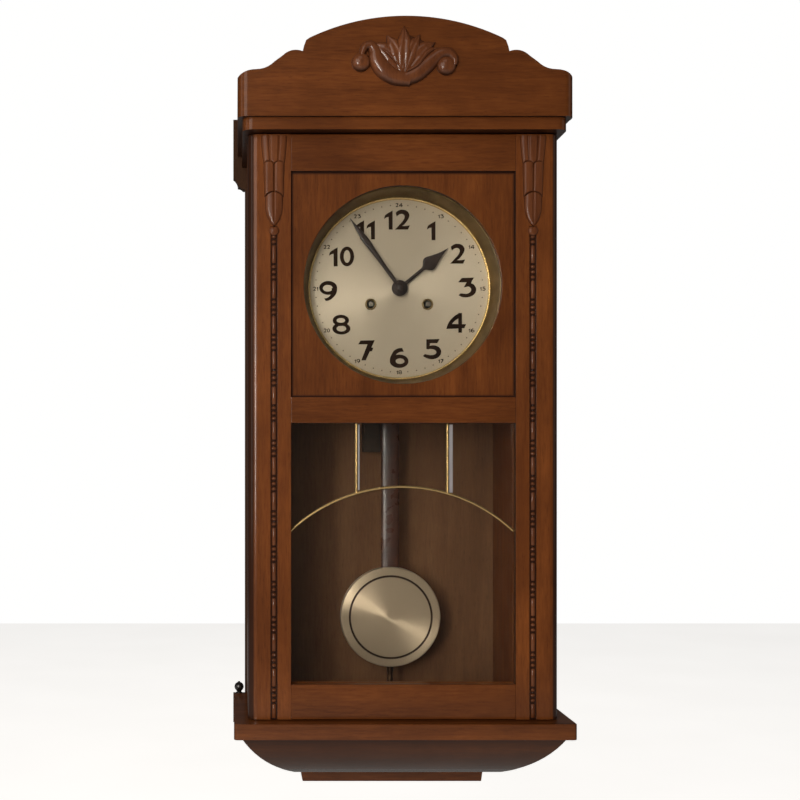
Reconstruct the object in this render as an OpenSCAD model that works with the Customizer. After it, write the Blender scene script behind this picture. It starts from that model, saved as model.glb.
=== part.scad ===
// Wall clock of the regulator kind: glazed box case with a hinged door, a spring driven movement
// with time and strike sides, and a pendulum behind the window.
// X runs to the right, Y towards the wall and Z up. The origin is the hole of the wall hanger.

/* [Wall hanger] */
// Height of the hanger hole above the underside of the clock
hang_h = 700; // [680:1:704]
// Radius of the hanger hole
hang_r = 4.5; // [3.5:0.5:6]
// Thickness of the hanger plate
hanger_t = 2; // [1.5:0.5:3]

/* [Case] */
// Outer width across the case sides
case_w = 311; // [300:1:318]
// Depth of the case sides, without the back panel
side_d = 130; // [126:1:140]
// Thickness of the case sides
side_t = 36; // [12:1:38]
// Height inside the case, from the shelf to the top board
body_h = 587.5; // [580:0.5:600]
// Thickness of the back panel
back_t = 14; // [12:1:18]
// How far the back panel shows beyond each case side
back_lip = 2; // [1:0.5:4]
// How far the ears of the back panel reach beyond the shelf
ear_over = 1; // [0.5:0.25:4]
// Height of the upper ear
ear_up_h = 78; // [60:1:90]
// Height of the lower ear
ear_low_h = 31; // [24:1:36]
// Height of the turned finial on the lower ear
finial_h = 14; // [10:1:18]

/* [Top] */
// Thickness of the top board
top_t = 12; // [10:0.5:16]
// How far the top board stands proud of the case side
top_side = 5.5; // [4:0.5:8]
// How far the top board stands proud of the door
top_front = 15; // [12:1:18]
// Height of the boxed cap above the top board
cap_h = 37.5; // [32:0.5:42]
// How far the cap stands proud of the case side
cap_side = 10.5; // [8:0.5:13]
// How far the crest board stands proud of the door
cap_front = 20; // [18:1:24]
// Thickness of the cap's sides
cap_t = 12; // [8:1:16]
// Thickness of the crest board
crest_t = 18; // [14:1:22]
// Radius of the rounded front corners of the cap and the top board
corner_r = 10; // [6:1:14]
// Height of the crest above the top board, at its middle
crest_h = 98.5; // [90:0.5:108]
// Half width of the arch of the crest
arch_half = 95; // [88:1:100]
// Rise of the arch of the crest
arch_rise = 21.5; // [18:0.5:26]
// How far the crest carving stands proud of the crest board
carve_t = 8; // [5:0.5:10]
// Half width of the crest carving
carve_half = 52.5; // [44:0.5:58]
// Height of the lowest edge of the crest carving above the top board
carve_up = 30.9; // [24:0.5:34]

/* [Base] */
// Thickness of the shelf under the door
shelf_t = 16; // [13:0.5:20]
// How far the shelf stands proud of the case side
shelf_side = 14; // [10:0.5:16]
// How far the shelf stands proud of the door
shelf_front = 18; // [14:1:22]
// Height of the hull moulding under the shelf
hull_h = 46.5; // [40:0.5:54]
// How far the hull moulding draws in towards its underside
hull_in = 55; // [45:1:65]
// Step from the edge of the shelf to the hull moulding
hull_step = 7.5; // [5:0.5:10]
// Wall thickness of the hull moulding
hull_wall = 14; // [10:1:18]
// Height of the wall block under the hull
block_h = 22; // [16:1:28]
// Width of the wall block
block_w = 198; // [180:1:208]
// Depth of the wall block
block_d = 70; // [50:1:90]

/* [Door] */
// Thickness of the door frame
door_t = 20; // [18:1:24]
// Gap between the closed door and the case sides
door_gap = 1; // [0.8:0.1:2]
// Gap above and below the door
door_clear = 1; // [0.6:0.1:1.5]
// Width of the door stiles
stile_w = 43; // [36:0.5:46]
// Height of the top rail
top_rail_h = 37; // [28:0.5:42]
// Height of the dial panel
panel_h = 226; // [222:1:236]
// Height of the middle rail
mid_rail_h = 26; // [20:0.5:32]
// Height of the bottom rail
low_rail_h = 35; // [28:0.5:42]
// Thickness of the dial panel
panel_t = 6.5; // [5:0.5:9]
// How far the dial panel lies behind the front of the frame
panel_in = 4; // [2:0.5:5]
// Width of the dial panel at either side of its round hole
panel_margin = 13; // [11:0.5:18]
// Depth of the rebate for the glass, from the back of the frame
rebate_d = 8; // [6:0.5:10]
// Width of the rebate for the glass
rebate_w = 6; // [4:0.5:8]
// Radius of the rounded outer edge of the door
edge_r = 9; // [6:0.5:12]
// Radius of the door's pivot pins
pin_r = 2; // [1.5:0.25:3]
// Distance of the pivot pin from the door's outer edge and back
pin_in = 5.5; // [4.5:0.5:7]
// Depth of the pivot pins in the door and in the case
pin_deep = 9; // [6:1:10]
// Height of the door catch above the door's lower edge
catch_up = 296; // [200:1:380]

/* [Door ornament] */
// Distance of the ornament's centre line from the inner edge of the stile
trim_in = 17; // [14:0.5:20]
// Radius of the bead and reel strip
bead_r = 2.7; // [2:0.1:3.2]
// Width of the groove for the bead and reel strip
groove_w = 7; // [6:0.5:9]
// Depth of the groove for the bead and reel strip
groove_d = 2; // [1:0.25:3]
// Pitch of the bead and reel pattern
reel_pitch = 35.3; // [33:0.1:36]
// Number of whole patterns in one strip
reel_n = 13; // [10:1:13]
// Height of the carved drop at the top of each stile
drop_h = 92; // [80:1:100]
// Width of the carved drop
drop_w = 26; // [20:1:30]
// How far the carved drop stands proud of the stile
drop_t = 4; // [3:0.5:6]

/* [Window] */
// Thickness of the window glass
glass_t = 2.5; // [2:0.25:3]
// Width of the brass cames
came_w = 3; // [2:0.25:4]
// Distance of each upright came from the middle
came_x = 46; // [36:1:56]
// Height of the foot of the arched came above the bottom rail
came_foot = 153; // [140:1:165]
// Rise of the arched came
came_rise = 44.5; // [36:0.5:52]

/* [Dial] */
// Depth of the dial's face behind the front of the door
dial_in = 35; // [34:0.5:38]
// How far the dial plate reaches beyond the front lip of the brass surround
dial_lap = 2.6; // [1:0.1:4]
// Thickness of the dial plate
dial_t = 1.5; // [1:0.25:2]
// Radius of the visible dial inside the brass surround
dial_open_r = 91.3; // [88:0.1:93]
// Depth of the brass surround
bezel_d = 19; // [16:0.5:19.5]
// How far the front lip of the brass surround reaches behind the dial panel
bezel_lap = 1.9; // [0.5:0.1:2.3]
// Angle of the minute hand, clockwise from twelve
minute_a = -35.8; // [-180:0.1:180]
// Angle of the hour hand, clockwise from twelve
hour_a = 50.5; // [-180:0.1:180]
// Length of the minute hand from the centre
minute_len = 87; // [70:1:88]
// Length of the hour hand from the centre
hour_len = 64; // [50:1:70]
// Distance of each winding hole from the upright centre line
wind_x = 29.2; // [28.8:0.1:29.6]
// Distance of the winding holes below the centre of the dial
wind_z = 16; // [15:0.1:17]

/* [Movement] */
// Gap between the dial plate and the front plate
motion_gap = 13.5; // [13:0.5:15]
// Thickness of each movement plate
plate_t = 2; // [1.5:0.25:2.5]
// Half width of the movement plates
plate_half = 64; // [62:1:68]
// Reach of the movement plates above the centre of the dial
plate_up = 66; // [62:1:70]
// Reach of the movement plates below the centre of the dial
plate_down = 52; // [48:1:56]
// Distance between the movement plates
plate_gap = 38; // [38:0.5:40]
// Radius of the arbors' pivots
pivot_r = 0.9; // [0.7:0.05:1]
// Running clearance round each pivot
run_fit = 0.05; // [0.02:0.01:0.08]
// Radius of the two spring barrels
barrel_r = 21; // [18:0.5:21.5]
// Thickness of the seat board under the movement
seat_t = 14; // [10:1:18]
// Depth of the seat board
seat_d = 58; // [54:1:60]

/* [Pendulum] */
// Height of the suspension point above the centre of the dial
hang_up = 50; // [49:0.5:51]
// Distance from the suspension point to the middle of the bob
bob_down = 396; // [385:1:400]
// Radius of the bob
bob_r = 54; // [45:0.5:58]
// Distance of the pendulum's plane behind the back plate
swing_in = 21; // [20:0.5:22]
// Width of the wooden pendulum rod
rod_w = 19.5; // [14:0.5:22]
// Thickness of the wooden pendulum rod
rod_t = 6; // [4:0.5:7]
// Length of the crutch
crutch_len = 70; // [60:1:80]
// Radius of the rating nut
nut_r = 8; // [6:0.5:10]

/* [Gong] */
// Distance of the gong rods to the left of the middle
gong_x = 18; // [16:0.5:22]
// Height of the underside of the gong block above the underside of the clock
gong_low = 354; // [350:1:360]
// Height of the gong block
gong_block_h = 40; // [34:1:44]
// Length of the gong rods above the block
gong_len = 200; // [150:5:220]

/* [Hidden] */
$fn = 64;

// Heights above the underside of the clock
hull_z = block_h;
shelf_z = hull_z + hull_h;
body_z = shelf_z + shelf_t;
top_z = body_z + body_h;
cap_z = top_z + top_t;
back_top_z = cap_z + cap_h + 4;
back_low_z = shelf_z - 16.5;
door_z = body_z + door_clear;
door_h = body_h - 2 * door_clear;
door_top_z = door_z + door_h;
panel_z = door_top_z - top_rail_h - panel_h;
mid_rail_z = panel_z - mid_rail_h;
window_z = door_z + low_rail_h;
dial_z = panel_z + panel_h / 2;
pivot_z = dial_z + hang_up;
bob_z = pivot_z - bob_down;
seat_z = dial_z - plate_down - seat_t;

// Places in depth, with the wall at zero
back_y = -back_t;
side_y = back_y - side_d;
door_back_y = side_y - door_gap;
door_y = door_back_y - door_t;
top_y = door_y - top_front;
cap_y = door_y - cap_front;
shelf_y = door_y - shelf_front;
hull_y = shelf_y + hull_step + 1;
rebate_y = door_back_y - rebate_d;
panel_y = door_y + panel_in;
panel_back_y = panel_y + panel_t;
glass_gap = 0.1;
dial_y = door_y + dial_in;
plate_y = dial_y + dial_t + motion_gap;
inner_y = plate_y + plate_t;
rear_y = inner_y + plate_gap;
rear_back_y = rear_y + plate_t;
swing_y = rear_back_y + swing_in;

// Half widths
case_half = case_w / 2;
window_half = case_half - stile_w;
panel_hole_r = window_half - panel_margin;
bezel_r = panel_hole_r + bezel_lap;
dial_r = bezel_r + dial_lap;
rebate_half = window_half + rebate_w;
shelf_half = case_half + shelf_side;
hull_half = shelf_half - hull_step;
ear_half = shelf_half + ear_over;
ear_w = ear_half - case_half - back_lip;
trim_x = window_half + trim_in;
pin_x = -case_half + pin_in;
pin_y = door_back_y - pin_in;

// Wheel train: places of the arbors from the centre of the dial
time_at = [wind_x, -wind_z];
strike_at = [-wind_x, -wind_z];
centre_at = [0, 0];
second_at = [20, 16];
third_at = [-14, 19.5];
escape_at = [0, 32.7];
anchor_at = [0, hang_up];
pin_at = [-44, 13.85];
fly_at = [-38, 30.95];
hammer_at = [-60.5, -4];
stud_at = [0, -18];

// Tooth counts
great_n = 72;
leaf12_n = 12;
second_n = 60;
leaf10_n = 10;
centre_n = 72;
leaf8_n = 8;
third_n = 75;
leaf7_n = 7;
escape_n = 30;
cannon_n = 12;
minute_n = 36;
hour_leaf_n = 10;
hour_n = 40;

// Places of the wheels in depth, front and back face of each
wheel_t = 1.5;
great_t = 2.5;
leaf_over = 0.5;
drum_y = [inner_y + 2 * great_t, rear_y - 13];
great_time_y = [drum_y[1], drum_y[1] + great_t];
great_strike_y = [drum_y[0] - great_t, drum_y[0]];
centre_y = [rear_y - 5.5, rear_y - 5.5 + wheel_t];
second_y = [centre_y[0] - 3, centre_y[0] - 3 + wheel_t];
third_y = [centre_y[0] - 6, centre_y[0] - 4.7];
pin_wheel_y = [centre_y[0] - 3.5, centre_y[0] - 3.5 + wheel_t];
escape_y = [rear_y - 23, rear_y - 23 + wheel_t];
fly_y = [drum_y[0], rear_y - 16];
cannon_y = [plate_y - 7.5, plate_y - 4];
minute_y = [plate_y - 6.5, plate_y - 5];
hour_y = [plate_y - 11.5, plate_y - 10];

// Hands and pipes
cannon_pipe_r = 2.6;
hour_pipe_r = 3.6;
centre_r = 1.5;
hour_hand_y = [dial_y - 5.6, dial_y - 4.4];
minute_hand_y = [dial_y - 8.4, dial_y - 7.2];
pipe_end_y = dial_y - 9;
nut_front_y = dial_y - 11.2;

// Bob and rod
bob_t = 9;
tip_r = 1.7;
tip_deep = 11;
ferrule_r = 3.25;
ferrule_len = 20.5;
rod_low_z = bob_z - bob_r + 19;
rod_top_z = pivot_z - 26;
nut_top_z = bob_z - bob_r - ferrule_len - 0.3;
nut_h = 6.5;
tip_out = 4;

// Distance between two points
function apart(a, b) = norm(a - b);
// Direction from one point to another, in degrees
function aim(a, b) = atan2(b[1] - a[1], b[0] - a[0]);
// Points of a circle's arc
function arc(c, r, a0, a1, n) = [
    for (i = [0 : n]) let (a = a0 + (a1 - a0) * i / n) [c[0] + r * cos(a), c[1] + r * sin(a)]
];
// Points of a shallow bow from p to q that bulges by s to the left of its way
function bow(p, q, s, n) = let (d = (q - p) / norm(q - p), side = [-d[1], d[0]]) [
    for (i = [0 : n]) let (t = i / n) p * (1 - t) + q * t + side * 4 * s * t * (1 - t)
];
// The same points with the other sign of X, in the other order
function flipped(p) = [for (i = [len(p) - 1 : -1 : 0]) [-p[i][0], p[i][1]]];

// Outline of a toothed wheel with straight flanks, one tooth centred at the angle turn
tooth_play = 0.2;
function wheel_points(n, m, turn, add) = let (r = m * n / 2, p = PI * m) [
    for (i = [0 : n - 1])
        for (q = [
            [r - 1.1 * m, tooth_play - 0.66], [r, tooth_play - 0.5], [r + add * m, tooth_play - 0.24],
            [r + add * m, 0.24 - tooth_play], [r, 0.5 - tooth_play], [r - 1.1 * m, 0.66 - tooth_play]
        ])
            let (a = turn + 360 * i / n + q[1] * p / 2 / q[0] * 180 / PI) [q[0] * cos(a), q[0] * sin(a)]
];
// Module of a pair of wheels from the distance of their arbors
function pair_module(a, b, n1, n2) = 2 * apart(a, b) / (n1 + n2);
// Angle of a tooth of the second wheel when a tooth of the first one stands at the angle turn
function mesh_turn(a, b, n1, turn, n2) = aim(a, b) + 180 + 180 / n2 - (turn - aim(a, b)) * n1 / n2;

m_great = pair_module(time_at, second_at, great_n, leaf12_n);
m_second = pair_module(second_at, centre_at, second_n, leaf10_n);
m_centre = pair_module(centre_at, third_at, centre_n, leaf8_n);
m_third = pair_module(third_at, escape_at, third_n, leaf7_n);
m_strike = pair_module(strike_at, pin_at, great_n, leaf12_n);
m_pin = pair_module(pin_at, fly_at, second_n, leaf8_n);
m_cannon = pair_module(centre_at, stud_at, cannon_n, minute_n);
m_hour = pair_module(stud_at, centre_at, hour_leaf_n, hour_n);

// Puts a shape drawn above the underside of the clock into the hanger's frame
module stand() translate([0, 0, -hang_h]) children();
// A block from its low corner to its high corner
module block(a, b) translate(a) cube(b - a);
// A flat outline in X and Z, carried from y0 to y1
module slab(y0, y1) translate([0, y1, 0]) rotate([90, 0, 0]) linear_extrude(y1 - y0) children();
// A round bar along Y at a place in X and Z
module bar(at, y0, y1, r) translate([at[0], y0, at[1]]) rotate([-90, 0, 0]) cylinder(r = r, h = y1 - y0);
// A flat outline in X and Y, carried from z0 to z1
module plank(z0, z1) translate([0, 0, z0]) linear_extrude(z1 - z0) children();
// A board outline in X and Y with rounded front corners
module cornered(half, y0, y1, r) polygon(concat(
    [[-half, y1]], arc([-half + r, y0 + r], r, 180, 270, 8), arc([half - r, y0 + r], r, 270, 360, 8),
    [[half, y1]]
));
// Moves movement parts to the centre of the dial
module at_dial() translate([0, 0, dial_z]) children();

// Case
module back_outline() polygon(let (
    edge = case_half + back_lip,
    low = [[block_w / 2, hull_z], [block_w / 2, back_low_z], [ear_half, back_low_z],
        [ear_half, back_low_z + ear_low_h], [edge, back_low_z + ear_low_h]],
    ear = concat([[edge, back_top_z - ear_up_h]],
        bow([edge + 2, back_top_z - ear_up_h], [ear_half - 5, back_top_z - ear_up_h + 3], 0.8, 4),
        bow([ear_half - 5, back_top_z - ear_up_h + 5], [ear_half, back_top_z - ear_up_h + 13], 1, 5),
        [[ear_half, back_top_z]]),
    half = concat(low, ear)
) concat(half, flipped(half)));

module back_panel() color("saddlebrown") stand() difference() {
    slab(back_y, 0) back_outline();
    block([-31, -hanger_t, hang_h - 19], [31, 1, hang_h + 19]);
    bar([0, hang_h], -hanger_t - 9, 0, hang_r + 5);
    for (x = [-22, 22]) bar([x, hang_h], -hanger_t - 8, 0, 1.8);
}

module hanger_plate() color("dimgray") stand() difference() {
    block([-30, -hanger_t, hang_h - 18], [30, 0, hang_h + 18]);
    bar([0, hang_h], -hanger_t - 1, 1, hang_r);
    for (x = [-22, 22]) bar([x, hang_h], -hanger_t - 1, 1, 3);
}

module hanger_screws() color("gray") stand() for (x = [-22, 22]) {
    bar([x, hang_h], -hanger_t, 0, 2.95);
    bar([x, hang_h], -hanger_t - 8, -hanger_t, 1.75);
}

module side_board() block([case_half - side_t, side_y, body_z], [case_half, back_y, top_z]);

module side_left() color("saddlebrown") stand() mirror([1, 0, 0]) side_board();

module side_right() color("saddlebrown") stand() difference() {
    side_board();
    bar([case_half - side_t / 2, door_z + catch_up], side_y - 1, side_y + 1, 2.8);
}

module top_board() color("sienna") stand() difference() {
    plank(top_z, cap_z) cornered(case_half + top_side, top_y, back_y, corner_r);
    translate([pin_x, pin_y, top_z - 1]) cylinder(r = pin_r, h = pin_deep + 1);
}

arch_r = (arch_half * arch_half + arch_rise * arch_rise) / (2 * arch_rise);
arch_a = asin(arch_half / arch_r);
crest_half = case_half + cap_side;
crest_top_z = cap_z + crest_h;
function crest_side() = let (
    z = crest_top_z,
    notch_x = arch_half + 6.5,
    bump = [notch_x + 7, z - 51.5],
    dip = [notch_x + 46, z - 27.5]
) concat(
    [[crest_half, cap_z], [crest_half, z - 58.5]],
    arc([notch_x + 46, z - 82.5], 30, 52, 90, 5),
    arc(dip, 25, -90, -136, 5),
    arc(bump, 18, 45, 112, 8),
    [[notch_x - 0.8, z - 30], [notch_x - 3, z - 24]],
    arc([0, z - arch_r], arch_r, 90 - arch_a, 90, 14)
);

module crest_board() color("sienna") stand() intersection() {
    slab(cap_y, cap_y + crest_t) polygon(concat(crest_side(), flipped(crest_side())));
    plank(cap_z, crest_top_z + 1) cornered(crest_half, cap_y, cap_y + crest_t + 1, corner_r);
}

module cap_boards() color("saddlebrown") stand() {
    lid_t = 10;
    y0 = cap_y + crest_t;
    for (s = [0, 1]) mirror([s, 0, 0])
        block([crest_half - cap_t, y0, cap_z], [crest_half, back_y, cap_z + cap_h - lid_t]);
    block([-crest_half, y0, cap_z + cap_h - lid_t], [crest_half, back_y, cap_z + cap_h]);
}

// Carving: two volutes joined by a band that dips in the middle, with a fan of leaves above it
carve_unit = carve_half / 52.5;
volute_at = [42.7, 22.3] * carve_unit;
volute_r = 9.8 * carve_unit;
carve_z = cap_z + carve_up;
fan_foot = 10 * carve_unit;
// A point of the carving, from the middle of its lowest edge
function carved(x, z) = [x, z] * carve_unit;
module carved_leaf(tip, foot, w) {
    d = (tip - foot) / norm(tip - foot);
    mid = foot + (tip - foot) * 0.45;
    side = [-d[1], d[0]] * w / 2;
    polygon(concat(bow(foot, mid - side, -1, 4), bow(mid - side, tip, -1, 4),
        bow(tip, mid + side, -1, 4), bow(mid + side, foot, -1, 4)));
}

// Half of the band that joins the volutes
function carved_band() = let (
    knee = carved(30, 14),
    turn = [volute_at[0] - 6 * carve_unit, volute_at[1]]
) concat(
    bow([0, 0], knee, -5 * carve_unit, 8), bow(knee, turn, carve_unit, 3),
    bow([volute_at[0], volute_at[1] + volute_r], carved(26, 26), 2 * carve_unit, 4),
    bow(carved(24, 25), carved(0, 13.5), 2.5 * carve_unit, 8)
);
module crest_carving() color("saddlebrown") stand() translate([0, 0, carve_z]) {
    for (s = [-1, 1]) {
        bar([s * volute_at[0], volute_at[1]], cap_y - carve_t, cap_y, volute_r);
        slab(cap_y - carve_t * 0.75, cap_y) scale([s, 1]) polygon(carved_band());
    }
    slab(cap_y - carve_t * 0.62, cap_y) {
        carved_leaf(carved(0, 57.8), [0, fan_foot], 13 * carve_unit);
        for (s = [-1, 1]) {
            carved_leaf(carved(s * 15, 47.5), [s * 3, fan_foot], 11 * carve_unit);
            carved_leaf(carved(s * 31, 39.5), [s * 6, fan_foot], 12 * carve_unit);
        }
    }
}

finial_r = 0.4 * ear_w;
module ear_finials() color("black") stand() for (s = [-1, 1])
    translate([s * (ear_half - ear_w / 2), -back_t / 2, back_low_z + ear_low_h])
        rotate_extrude() polygon(concat(
            [[0, 0], [finial_r * 0.7, 0], [finial_r * 0.7, finial_h * 0.1],
                [finial_r * 0.46, finial_h * 0.18]],
            arc([0, finial_h * 0.57], finial_r, -50, 60, 9),
            [[finial_r * 0.3, finial_h * 0.93], [0, finial_h]]
        ));

// Base
module shelf_board() color("sienna") stand() difference() {
    plank(shelf_z, body_z) cornered(shelf_half, shelf_y, back_y, 4);
    translate([pin_x, pin_y, body_z - pin_deep]) cylinder(r = pin_r, h = pin_deep + 1);
}

// Half of the hull's cross section: how far it has drawn in at each height
hull_bow = 6;
function hull_curve(inset) = bow([-inset, hull_h], [-hull_in - inset, 0], hull_bow, 10);
module hull_form(inset, floor_t) intersection() {
    slab(hull_y + inset, back_y) polygon(concat(
        [for (p = hull_curve(inset)) [hull_half + p[0], hull_z + p[1] + floor_t]],
        [for (p = flipped(hull_curve(inset))) [p[0] - hull_half, hull_z + p[1] + floor_t]]
    ));
    translate([-hull_half, 0, 0]) rotate([90, 0, 90]) linear_extrude(2 * hull_half) polygon(concat(
        [for (p = hull_curve(inset)) [hull_y - p[0], hull_z + p[1] + floor_t]],
        [[back_y - inset, hull_z + floor_t], [back_y - inset, shelf_z + floor_t]]
    ));
}

module base_hull() color("saddlebrown") stand() difference() {
    hull_form(0, 0);
    hull_form(hull_wall, hull_wall * 0.6);
}

module base_block() color("saddlebrown") stand() slab(-block_d, 0) polygon([
    [-block_w / 2 + 3, 0], [block_w / 2 - 3, 0], [block_w / 2, hull_z], [-block_w / 2, hull_z]
]);

// Door frame
catch_at = [case_half - side_t / 2, door_z + catch_up];
module stile_section() polygon(concat(
    [[-window_half, door_y], [-window_half, rebate_y], [-rebate_half, rebate_y],
        [-rebate_half, door_back_y]],
    arc([pin_x, pin_y], pin_in, 90, 180, 8),
    arc([-case_half + edge_r, door_y + 0.5 + edge_r], edge_r, 180, 270, 10),
    [[-case_half + edge_r, door_y]]
));
module stile() difference() {
    plank(door_z, door_top_z) stile_section();
    block([-trim_x - groove_w / 2, door_y - 1, door_z - 1],
        [-trim_x + groove_w / 2, door_y + groove_d, door_top_z - drop_h]);
}

module stile_left() color("sienna") stand() difference() {
    stile();
    for (z = [door_z - 1, door_top_z - pin_deep])
        translate([pin_x, pin_y, z]) cylinder(r = pin_r + run_fit, h = pin_deep + 1);
}

module stile_right() color("sienna") stand() difference() {
    mirror([1, 0, 0]) stile();
    bar(catch_at, door_back_y - 8, door_back_y + 1, 4);
}

module rail(z0, z1, low, high) {
    block([-window_half, door_y, z0], [window_half, rebate_y, z1]);
    block([-rebate_half, rebate_y, z0 + low], [rebate_half, door_back_y, z1 - high]);
}

module top_rail() color("sienna") stand() rail(door_top_z - top_rail_h, door_top_z, 0, 0);

module middle_rail() color("sienna") stand() rail(mid_rail_z, panel_z, rebate_w, 0);

module bottom_rail() color("sienna") stand() rail(door_z, window_z, 0, rebate_w);

module dial_panel() color("sienna") stand() difference() {
    block([-window_half, panel_y, panel_z], [window_half, panel_back_y, panel_z + panel_h]);
    bar([0, dial_z], panel_y - 1, panel_back_y + 1, panel_hole_r);
}

// Glass of the dial and the bead ring that holds it
ring_out_r = panel_hole_r + 11;
glass_r = panel_hole_r + 5.5;
module dial_glass() color("lightcyan", 0.4) stand()
    bar([0, dial_z], panel_back_y + glass_gap, panel_back_y + glass_gap + glass_t, glass_r);

came_half = window_half - 0.2;
came_r = (window_half * window_half + came_rise * came_rise) / (2 * came_rise);
came_low_z = window_z + came_foot;
came_top_z = came_low_z + came_rise;
// Lines of the cames, this wide, out to the edges of the glass
module came_lines(w, half, top) {
    intersection() {
        translate([0, came_top_z - came_r]) difference() {
            circle(r = came_r + w / 2, $fn = 128);
            circle(r = came_r - w / 2, $fn = 128);
        }
        translate([-half, came_low_z - 12]) square([2 * half, came_rise + 30]);
    }
    for (s = [-1, 1]) difference() {
        translate([s * came_x - w / 2, came_low_z]) square([w, top - came_low_z]);
        translate([0, came_top_z - came_r]) circle(r = came_r, $fn = 128);
    }
}

module window_panes() color("lightcyan", 0.4) stand() difference() {
    block([-rebate_half + 0.4, rebate_y, window_z - rebate_w + 0.4],
        [rebate_half - 0.4, rebate_y + glass_t, mid_rail_z + rebate_w - 0.4]);
    slab(rebate_y - 1, rebate_y + glass_t + 1)
        came_lines(came_w + 2 * glass_gap, rebate_half, mid_rail_z + rebate_w);
}

module cames() color("goldenrod") stand()
    slab(rebate_y - 1, rebate_y + glass_t + 1) came_lines(came_w, came_half, mid_rail_z - 0.2);

module glazing_beads() color("saddlebrown") stand() {
    y0 = rebate_y + glass_t + glass_gap;
    y1 = door_back_y - 0.8;
    z0 = window_z - rebate_w + 0.3;
    z1 = mid_rail_z + rebate_w - 0.3;
    for (s = [0, 1]) mirror([s, 0, 0]) block([window_half, y0, z0], [rebate_half, y1, z1]);
    block([-window_half, y0, z0], [window_half, y1, window_z]);
    block([-window_half, y0, mid_rail_z], [window_half, y1, z1]);
    difference() {
        bar([0, dial_z], panel_back_y, panel_back_y + glass_t + 2, ring_out_r);
        bar([0, dial_z], panel_back_y - 1, panel_back_y + glass_t + 2 * glass_gap, glass_r + glass_gap);
        bar([0, dial_z], panel_back_y, panel_back_y + glass_t + 3, bezel_r + 1.2);
    }
}

// Carved drop: three tiers of petals that narrow downwards to a point
module drop_tier(w, z0, z1, lobes) {
    step = w / lobes;
    translate([-w / 2, z0 + step * 0.5]) square([w, z1 - z0 - step * 0.5]);
    for (i = [0 : lobes - 1]) translate([-w / 2 + step * (i + 0.5), z0 + step * 0.5]) circle(d = step);
}
module carved_drops() color("saddlebrown") stand() for (s = [-1, 1])
    translate([s * trim_x, 0, door_top_z - 2]) {
        slab(door_y - drop_t, door_y) drop_tier(drop_w, -drop_h * 0.3, 0, 3);
        slab(door_y - drop_t * 0.8, door_y) drop_tier(drop_w * 0.8, -drop_h * 0.64, -drop_h * 0.25, 2);
        slab(door_y - drop_t * 0.6, door_y)
            carved_leaf([0, -drop_h * 0.96], [0, -drop_h * 0.5], drop_w * 0.7);
        bar([0, -drop_h], door_y - drop_t * 0.8, door_y, drop_w * 0.17);
    }

// Turned bead and reel strip, split along its axis
reel_bead = 4.9;
reel_bar = reel_pitch - 3 * reel_bead;
reel_top_z = door_top_z - drop_h - 8;
function bead_profile(z) = [
    for (q = [[0, 0.4], [0.15, 0.82], [0.5, 1], [0.85, 0.82], [1, 0.4]])
        [bead_r * q[1], z - reel_bead * q[0]]
];
function bar_profile(z, len) = [
    for (q = [[0, 0.4], [0.05, 0.85], [0.12, 0.96], [0.88, 0.96], [0.95, 0.85], [1, 0.4]])
        [bead_r * q[1], z - len * q[0]]
];
function reel_profile() = concat(
    bead_profile(0), bead_profile(-reel_bead),
    [for (i = [0 : reel_n - 1]) let (z = -2 * reel_bead - i * reel_pitch) each concat(
        bar_profile(z, reel_bar),
        [for (k = [0 : 2]) each bead_profile(z - reel_bar - k * reel_bead)]
    )],
    bar_profile(reel_end - reel_len, reel_end)
);
reel_len = reel_top_z - door_z - 0.5;
reel_end = reel_len - 2 * reel_bead - reel_n * reel_pitch;
module bead_strips() color("sienna") stand() for (s = [-1, 1])
    translate([s * trim_x, door_y + groove_d, reel_top_z]) rotate([0, 0, 180])
        rotate_extrude(angle = 180) polygon(concat([[0, 0]], reel_profile(), [[0, -reel_len]]));

// Ball catch in the back of the right stile
module door_catch() color("gold") stand() {
    difference() {
        bar(catch_at, door_back_y - 8, door_back_y, 4);
        bar(catch_at, door_back_y - 7, door_back_y + 1, 2.5);
    }
    bar(catch_at, door_back_y - 7, door_back_y - 0.5, 2.5);
    translate([catch_at[0], door_back_y - 0.5, catch_at[1]]) sphere(r = 2.2);
}

module hinge_pins() color("gold") stand() {
    pin_len = 2 * pin_deep + door_clear - 1.2;
    for (z = [top_z - door_clear - pin_deep + 1, body_z - pin_deep + 0.2])
        translate([pin_x, pin_y, z]) cylinder(r = pin_r, h = pin_len);
    translate([pin_x, pin_y, body_z]) cylinder(r = pin_in - 1, h = door_clear);
}

// Dial
foot_at = [
    for (z = [plate_up - 8, 8 - plate_down]) for (s = [-1, 1]) [s * (plate_half - 7), z]
];
wind_hole_r = 4.8;
module dial_plate() color("lightgray") stand() at_dial() {
    difference() {
        bar([0, 0], dial_y, dial_y + dial_t, dial_r);
        bar([0, 0], dial_y - 1, dial_y + dial_t + 1, 5);
        for (s = [-1, 1]) bar([s * wind_x, -wind_z], dial_y - 1, dial_y + dial_t + 1, wind_hole_r);
    }
    for (p = foot_at) bar(p, dial_y + dial_t, inner_y, 1.5);
}

rim_bead_r = 0.8;
module dial_bezel() color("darkgoldenrod") stand() at_dial()
    translate([0, dial_y, 0]) rotate([90, 0, 0]) rotate_extrude() polygon(concat(
        [[dial_r, 0], [dial_r, 1.5], [dial_open_r + 5.6, 1.7], [bezel_r, bezel_d - 0.6],
            [bezel_r - 0.6, bezel_d], [bezel_r - 2, bezel_d], [dial_open_r + 2 * rim_bead_r, 3]],
        arc([dial_open_r + rim_bead_r, 1.8], rim_bead_r, 30, 180, 8), [[dial_open_r, 0]]
    ));

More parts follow.
